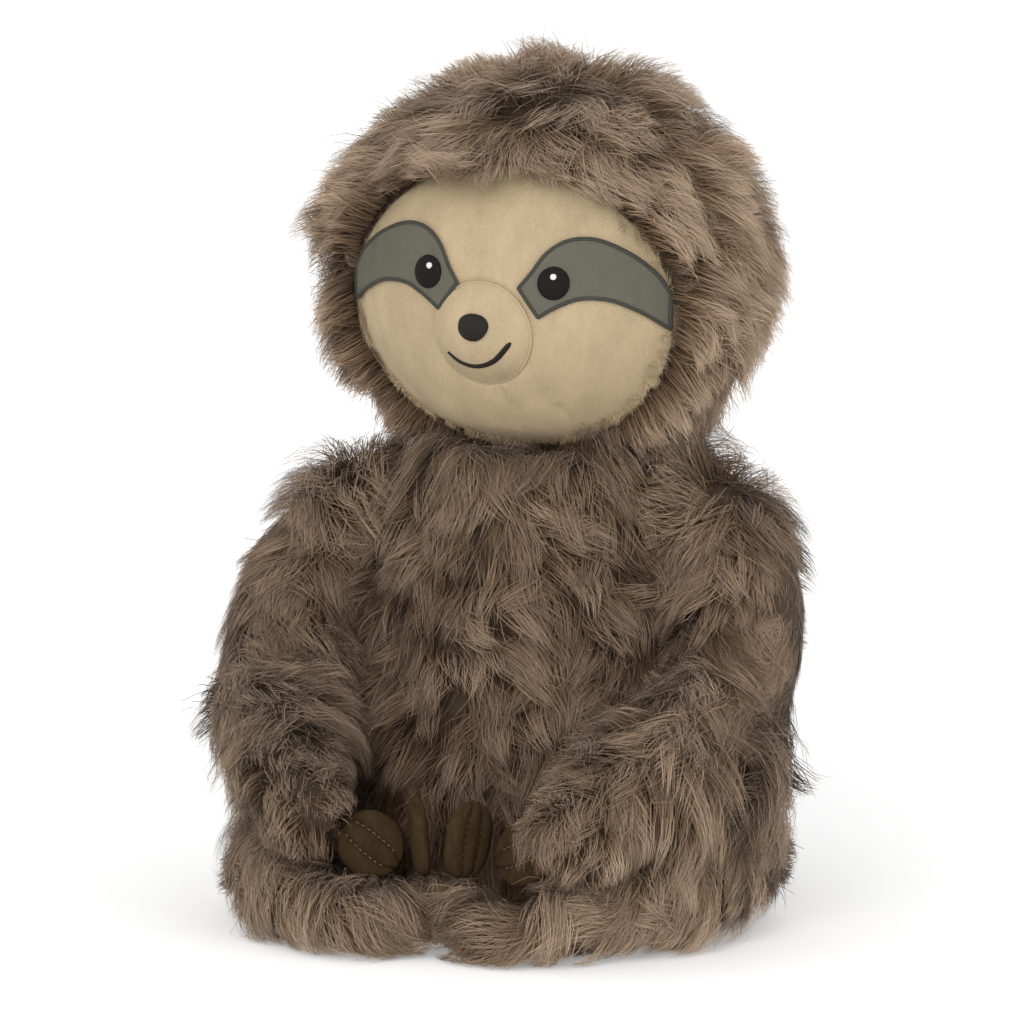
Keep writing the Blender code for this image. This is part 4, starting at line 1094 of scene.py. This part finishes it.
class SLOTH_OT_face(bpy.types.Operator):
    """Velboa face panel and padded muzzle."""

    bl_idname = "sloth.face"
    bl_label = "Face and muzzle"

    def execute(self, context):
        face = settings()[1]
        velboa = shared("face_velboa_cloth", cloth_material, face.velboa, roughness=0.85, mottle=0.65,
                        blotch=70.0, grain=2200.0, bump=0.4, sheen=0.08, specular=0.15)
        panel = oval_disc("face_velboa", oval(0.0, FACE_V, *FACE_HALF), level(0.0), panel_top,
                          np.linspace(0.02, 1.0, 84), 200, velboa)
        finish_piece(panel, "head", ("face_panel",))
        tones = [scaled(face.velboa, share) for share in (0.75, 0.92, 1.0)]
        pile = shared("velboa_pile", fur_material, tones)
        fuzz = grow("face_edge_pile", Dome(SKIN + 0.0011, 0.0 * SKIN), 5000,
                    lambda p: (face_reach(p) > 0.935) & (face_reach(p) < 0.972), rim_comb,
                    (0.0028, 0.0014, 0.0014, 0.35, 0.00024), lambda p: np.zeros(len(p)), 51, pile,
                    gather=0.2)
        finish_piece(fuzz, "head")
        shares = np.concatenate([np.linspace(0.05, 0.9, 22), np.linspace(0.915, 1.0, 14)])
        pad = oval_disc("muzzle_cushion", oval(MUZZLE_U, MUZZLE_V, MUZZLE_RADIUS, MUZZLE_RADIUS),
                        level(PANEL_TOP - 0.0003), muzzle_top, shares, 128, velboa)
        finish_piece(pad, "head", ("muzzle_pad",))
        return {"FINISHED"}


class SLOTH_OT_patches(bpy.types.Operator):
    """Felt eye patches and the satin stitch round them."""

    bl_idname = "sloth.patches"
    bl_label = "Eye patches"

    def execute(self, context):
        face = settings()[1]
        felt = shared("patch_felt_cloth", cloth_material, face.felt, roughness=0.95, mottle=0.32,
                      blotch=160.0, grain=1500.0, bump=0.6, sheen=0.0, specular=0.1)
        thread = shared("border_thread", thread_material, face.border)
        top, foot = flow(PATCH_TOP, 40), flow(PATCH_FOOT, 40)
        across = np.linspace(0.0, 1.0, 14)[None, :, None]
        plan = top[:, None] + (foot - top)[:, None] * across
        edge = np.vstack([top[:-1], flow(np.linspace(top[-1], foot[-1], 4), 10)[:-1], foot[::-1][:-1],
                          flow(np.linspace(foot[0], top[0], 4), 10)])
        gap = np.concatenate([[0.0], np.cumsum(np.linalg.norm(np.diff(edge, axis=0), axis=1))])
        at = np.arange(0.0, gap[-1], BORDER_PITCH)
        line = np.stack([np.interp(at, gap, edge[:, k]) for k in (0, 1)], axis=1)
        way = unit(np.roll(line, -2, axis=0) - np.roll(line, 2, axis=0))
        normal = np.stack([-way[:, 1], way[:, 0]], axis=1)
        ridge = 1.0 - 0.3 * (np.arange(len(line)) % 2)
        profile = np.array(((-1.0, 0.0), (-0.8, 0.7), (0.0, 1.0), (0.8, 0.7), (1.0, 0.0), (0.0, -0.6)))
        spots = line[:, None] + normal[:, None] * (BORDER_HALF * profile[:, :1])[None]
        lift = FELT_TOP + BORDER_RISE * profile[None, :, 1] * ridge[:, None]
        sides = len(profile)
        quads = band(sides * np.arange(len(line))[:, None], sides) % (sides * len(line))
        for word, side in SIDES:
            upper, lower = (face_point(side * plan[..., 0], plan[..., 1], height)
                            for height in (FELT_TOP, FELT_TOP - FELT_THICK))
            patch = sheet_block(f"felt_patch_{word}", upper, lower, felt)
            finish_piece(patch, "head", (f"eye_patch_{word}",))
            rings = face_point(side * spots[..., 0], spots[..., 1], lift)
            border = make_mesh(f"patch_border_{word}", rings, quads, (), thread)
            outward(border)
            finish_piece(border, "head")
        return {"FINISHED"}


class SLOTH_OT_features(bpy.types.Operator):
    """Embroidered eyes, glints, nose and mouth."""

    bl_idname = "sloth.features"
    bl_label = "Eyes, nose and mouth"

    def execute(self, context):
        face = settings()[1]
        eye_thread = shared("eye_thread", thread_material, face.eye)
        nose_thread = shared("nose_thread", thread_material, face.nose, turn=(0.0, math.radians(80.0), 0.0))
        glint_thread = shared("glint_thread", thread_material, face.glint)
        shares = np.concatenate([np.linspace(0.1, 0.9, 12), (0.96, 1.0)])
        base = level(FELT_TOP + 0.0002)
        for word, side in SIDES:
            spot = (side * EYE_ACROSS, EYE_UP, *EYE_HALF)
            top = dome(*spot, base, 0.0004, 0.0014, 0.5)
            eye = oval_disc(f"eye_stitch_{word}", oval(*spot), base, top, shares, 64, eye_thread)
            finish_piece(eye, "head", (f"eye_{word}",))
            glint = (side * EYE_ACROSS + 0.0006 - 0.0008 * side, EYE_UP + 0.0023, 0.0011, 0.0011)
            dot = oval_disc(f"glint_stitch_{word}", oval(*glint), raised(top, 0.00005),
                            dome(*glint, top, 0.0003, 0.0005), np.linspace(0.2, 1.0, 5), 24, glint_thread)
            finish_piece(dot, "head", (f"eye_glint_{word}",))
        spot = (MUZZLE_U - 0.0002, MUZZLE_V + 0.0042, 0.0054, 0.0044)
        base = raised(muzzle_top, 0.0001)
        nose = oval_disc("nose_stitch", oval(*spot, 0.14), base, dome(*spot, base, 0.0005, 0.0024, 0.5),
                         shares, 64, nose_thread)
        finish_piece(nose, "head", ("nose",))

        line = flow(MOUTH, 60)
        way = unit(np.gradient(line, axis=0))
        side = np.stack([-way[:, 1], way[:, 0]], axis=1)
        ends = np.sqrt(1.0 - 0.96 * np.linspace(-1.0, 1.0, len(line)) ** 14)
        half = np.linspace(0.0006, 0.0010, len(line)) * ends
        step = np.linspace(-1.0, 1.0, 7)
        plan = line[:, None] + side[:, None] * half[:, None, None] * step[None, :, None]
        across, up = plan[..., 0], plan[..., 1]
        low = muzzle_top(across, up)
        crown = 0.0002 + 0.0006 * np.sqrt(1.0 - 0.98 * step ** 2)[None, :]
        mouth = sheet_block("mouth_stitch", face_point(across, up, low + crown),
                            face_point(across, up, low - 0.0002), nose_thread)
        finish_piece(mouth, "head", ("mouth",))
        return {"FINISHED"}


def paddle(across, run, length, width):
    """Sideways and forward place on a paddle, and its half thickness.

    Across it swells for each of three claws and is pinched at the two lines of
    stitches between them.
    """
    ridge = np.abs(np.cos(1.5 * math.pi * across))
    ends = (1.0 - 0.93 * np.abs(2.0 * run - 1.0) ** 3.4) ** 0.4
    half_width = 0.5 * width * np.interp(run, np.linspace(0, 1, 61), flow(CLAW_WIDTHS, 61)[:, 0]) * ends
    forward = run * length * (1.0 - (0.06 * across ** 2 + 0.05 * (1.0 - ridge)) * run)
    border = np.sqrt(np.clip((1.0 - across ** 4) * (1.0 - (2.0 * run - 1.0) ** 6), 0.0, 1.0))
    pinch = 0.30 * np.exp(-((np.abs(across) - 1.0 / 3.0) / 0.045) ** 2)
    swell = 1.0 - 0.30 * (1.0 - ridge) - pinch
    return half_width * across, forward, 0.5 * (CLAW_EDGE + (CLAW_THICK - CLAW_EDGE) * border * swell)


def paddle_stitches(root, along, face, length, width):
    """Points and quads of the stitches in two lines on both of a paddle's faces.

    Each stitch is a closed tube of five rings of six points along the paddle.
    """
    broad, turn = np.cross(face, along), turns(6)[:, None]
    ring = np.cos(turn) * broad + np.sin(turn) * face
    girth = STITCH_RADIUS * np.array((0.15, 0.8, 1.0, 0.8, 0.15))[:, None, None]
    points = []
    for line in (-1.0 / 3.0, 1.0 / 3.0):
        for facing in (1.0, -1.0):
            for start in np.arange(0.10, 0.84, STITCH_PITCH):
                share = start + STITCH_LONG * np.array((0.0, 0.12, 0.5, 0.88, 1.0))
                side, forward, half = (row[:, None] for row in paddle(line, share, length, width))
                centre = root + broad * side + along * forward
                centre = centre + facing * face * (half + 0.00012)
                points.append((centre[:, None] + girth * ring).reshape(-1, 3))
    ends = np.array([(0, 3, 2, 1), (0, 5, 4, 3), (24, 25, 26, 27), (24, 27, 28, 29)])
    tube = np.vstack([band(6 * np.arange(4)[:, None], 6).reshape(-1, 4), ends])
    return np.vstack(points), tube + 30 * np.arange(len(points))[:, None, None]


class SLOTH_OT_claws(bpy.types.Operator):
    """Suede paddles of three claws, and the topstitch between the claws."""

    bl_idname = "sloth.claws"
    bl_label = "Claws"

    def execute(self, context):
        cloth = settings()[1]
        suede = shared("claw_suede_cloth", cloth_material, cloth.suede, roughness=0.95, mottle=1.1,
                       blotch=330.0, grain=2200.0, bump=0.5, sheen=0.0, specular=0.03)
        thread = shared("topstitch_thread", thread_material, cloth.topstitch)
        across = np.linspace(-1.0, 1.0, 61)[:, None]
        run = np.linspace(0.0, 1.0, 45)[None, :]
        for node, body, root, along, face, length, width in PADDLES:
            root, along, face = (np.array(row) for row in (root, along, face))
            side, forward, half = (grid[..., None] for grid in paddle(across, run, length, width))
            plan = root + np.cross(face, along) * side + along * forward
            pad = sheet_block(f"{node}_suede", plan + face * half, plan - face * half, suede)
            finish_piece(pad, body, (node,))
            points, quads = paddle_stitches(root, along, face, length, width)
            stitches = make_mesh(f"{node}_topstitch", points, quads, (), thread)
            outward(stitches)
            finish_piece(stitches, body)
        return {"FINISHED"}


class SLOTH_OT_stuffing(bpy.types.Operator):
    """Finishes of the stuffing and the pouch inside the pelts."""

    bl_idname = "sloth.stuffing"
    bl_label = "Stuffing"

    def execute(self, context):
        fibre = shared("polyester_fibre", cloth_material, (0.82, 0.82, 0.80), roughness=0.95, mottle=0.15,
                       blotch=150.0, grain=900.0, bump=0.8)
        pouch = shared("pouch_weave", cloth_material, (0.55, 0.53, 0.48), roughness=0.9, mottle=0.2,
                       blotch=400.0, grain=2500.0, bump=0.4)
        finishes = {"torso_fill": fibre, "head_fill": fibre, "pellet_pouch": pouch}
        finishes.update({f"{limb}_fill_{word}": fibre for limb in ("arm", "leg") for word, _ in SIDES})
        for name, finish in finishes.items():
            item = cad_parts[name]
            item.data.materials.clear()
            item.data.materials.append(finish)
        turn = turns(48)
        tilt = np.linspace(0.0, math.pi, 25)[1:-1, None]
        ring = stacked(np.sin(tilt) * np.cos(turn), np.sin(tilt) * np.sin(turn), -np.cos(tilt))
        pole = np.array((0.0, 0.0, NECK_RADIUS))
        neck = closed_loft("neck_cloth", NECK + NECK_RADIUS * ring, NECK - pole, NECK + pole,
                           backing_shared())
        finish_piece(neck, "neck", ("neck_fill",))
        return {"FINISHED"}


def aim(name, data, azimuth, elevation, distance):
    """Object for a lamp or camera that looks at the toy from an angle and a distance."""
    flat = math.cos(elevation)
    back = Vector((math.sin(azimuth) * flat, -math.cos(azimuth) * flat, math.sin(elevation)))
    item = bpy.data.objects.new(name, data)
    item.location = Vector(STAGE_MIDDLE) + distance * back
    item.rotation_euler = (-back).to_track_quat("-Z", "Y").to_euler()
    bpy.context.scene.collection.objects.link(item)
    return item


class SLOTH_OT_stage(bpy.types.Operator):
    """Plain floor, sky, lamps and camera."""

    bl_idname = "sloth.stage"
    bl_label = "Stage"

    def execute(self, context):
        stage = settings()[2]
        turn, here = turns(96), np.arange(96)
        rim = FLOOR_RADIUS * stacked(np.cos(turn), np.sin(turn), 0.0)
        tris = np.stack([0 * here, 1 + here, 1 + (here + 1) % 96], axis=-1)
        material, tree, shader = new_material("stage_floor", roughness=1.0, specular=0.0)
        shader.inputs["Base Color"].default_value = (FLOOR_TONE, FLOOR_TONE, FLOOR_TONE, 1.0)
        shader.inputs["Emission Color"].default_value = (1.0, 1.0, 1.0, 1.0)
        light = put(tree, "ShaderNodeLightPath").outputs["Is Camera Ray"]
        tree.links.new(maths(tree, "MULTIPLY", light, FLOOR_GLOW), shader.inputs["Emission Strength"])
        make_mesh("stage_floor", np.vstack([(0.0, 0.0, 0.0), rim]), (), tris, material)

        world = bpy.data.worlds.new("plain_sky")
        world.use_nodes = True
        tree = world.node_tree
        path = put(tree, "ShaderNodeLightPath").outputs
        seen = maths(tree, "MAXIMUM", path["Is Camera Ray"], path["Is Glossy Ray"])
        strength = put(tree, "ShaderNodeMapRange", [("Value", seen)], To_Min=stage.sky, To_Max=1.0)
        background = tree.nodes["Background"]
        background.inputs["Color"].default_value = (1.0, 1.0, 1.0, 1.0)
        tree.links.new(strength.outputs[0], background.inputs["Strength"])
        context.scene.world = world

        for (name, azimuth, elevation, width), power in zip(SUNS, (stage.key, stage.fill)):
            lamp = bpy.data.lights.new(name, "SUN")
            lamp.angle, lamp.energy = math.radians(width), power
            aim(name, lamp, math.radians(azimuth) + stage.azimuth, math.radians(elevation), 1.0)
        camera = bpy.data.cameras.new("photo_camera")
        camera.lens, camera.sensor_width = stage.lens, 36.0
        context.scene.camera = aim("photo_camera", camera, stage.azimuth, stage.elevation, stage.distance)
        context.scene.view_settings.view_transform = "Standard"
        return {"FINISHED"}


class SLOTH_PT_panel(bpy.types.Panel):
    """Lists the sloth's settings and pieces."""

    bl_idname = "SLOTH_PT_panel"
    bl_label = "Plush Sloth"
    bl_space_type = "VIEW_3D"
    bl_region_type = "UI"
    bl_category = "Plush Sloth"

    def draw(self, context):
        for group in settings():
            box = self.layout.box()
            for name in group.__annotations__:
                box.prop(group, name)
        for piece in PIECES:
            self.layout.operator(piece.bl_idname)


PIECES = (SLOTH_OT_head, SLOTH_OT_torso, SLOTH_OT_arms, SLOTH_OT_legs, SLOTH_OT_face, SLOTH_OT_patches,
          SLOTH_OT_features, SLOTH_OT_claws, SLOTH_OT_stuffing, SLOTH_OT_stage)
CLASSES = (SlothFur, SlothFace, SlothStage) + PIECES + (SLOTH_PT_panel,)


def register():
    """Registers the classes and their settings."""
    for item in CLASSES:
        bpy.utils.register_class(item)
    bpy.types.Scene.sloth_fur = bpy.props.PointerProperty(type=SlothFur)
    bpy.types.Scene.sloth_face = bpy.props.PointerProperty(type=SlothFace)
    bpy.types.Scene.sloth_stage = bpy.props.PointerProperty(type=SlothStage)


def unregister():
    """Takes the settings and classes away again."""
    del bpy.types.Scene.sloth_fur, bpy.types.Scene.sloth_face, bpy.types.Scene.sloth_stage
    for item in reversed(CLASSES):
        bpy.utils.unregister_class(item)


def main():
    """Makes every piece and the stage."""
    register()
    for piece in PIECES:
        group, name = piece.bl_idname.split(".")
        getattr(getattr(bpy.ops, group), name)()


if __name__ == "__main__":
    main()
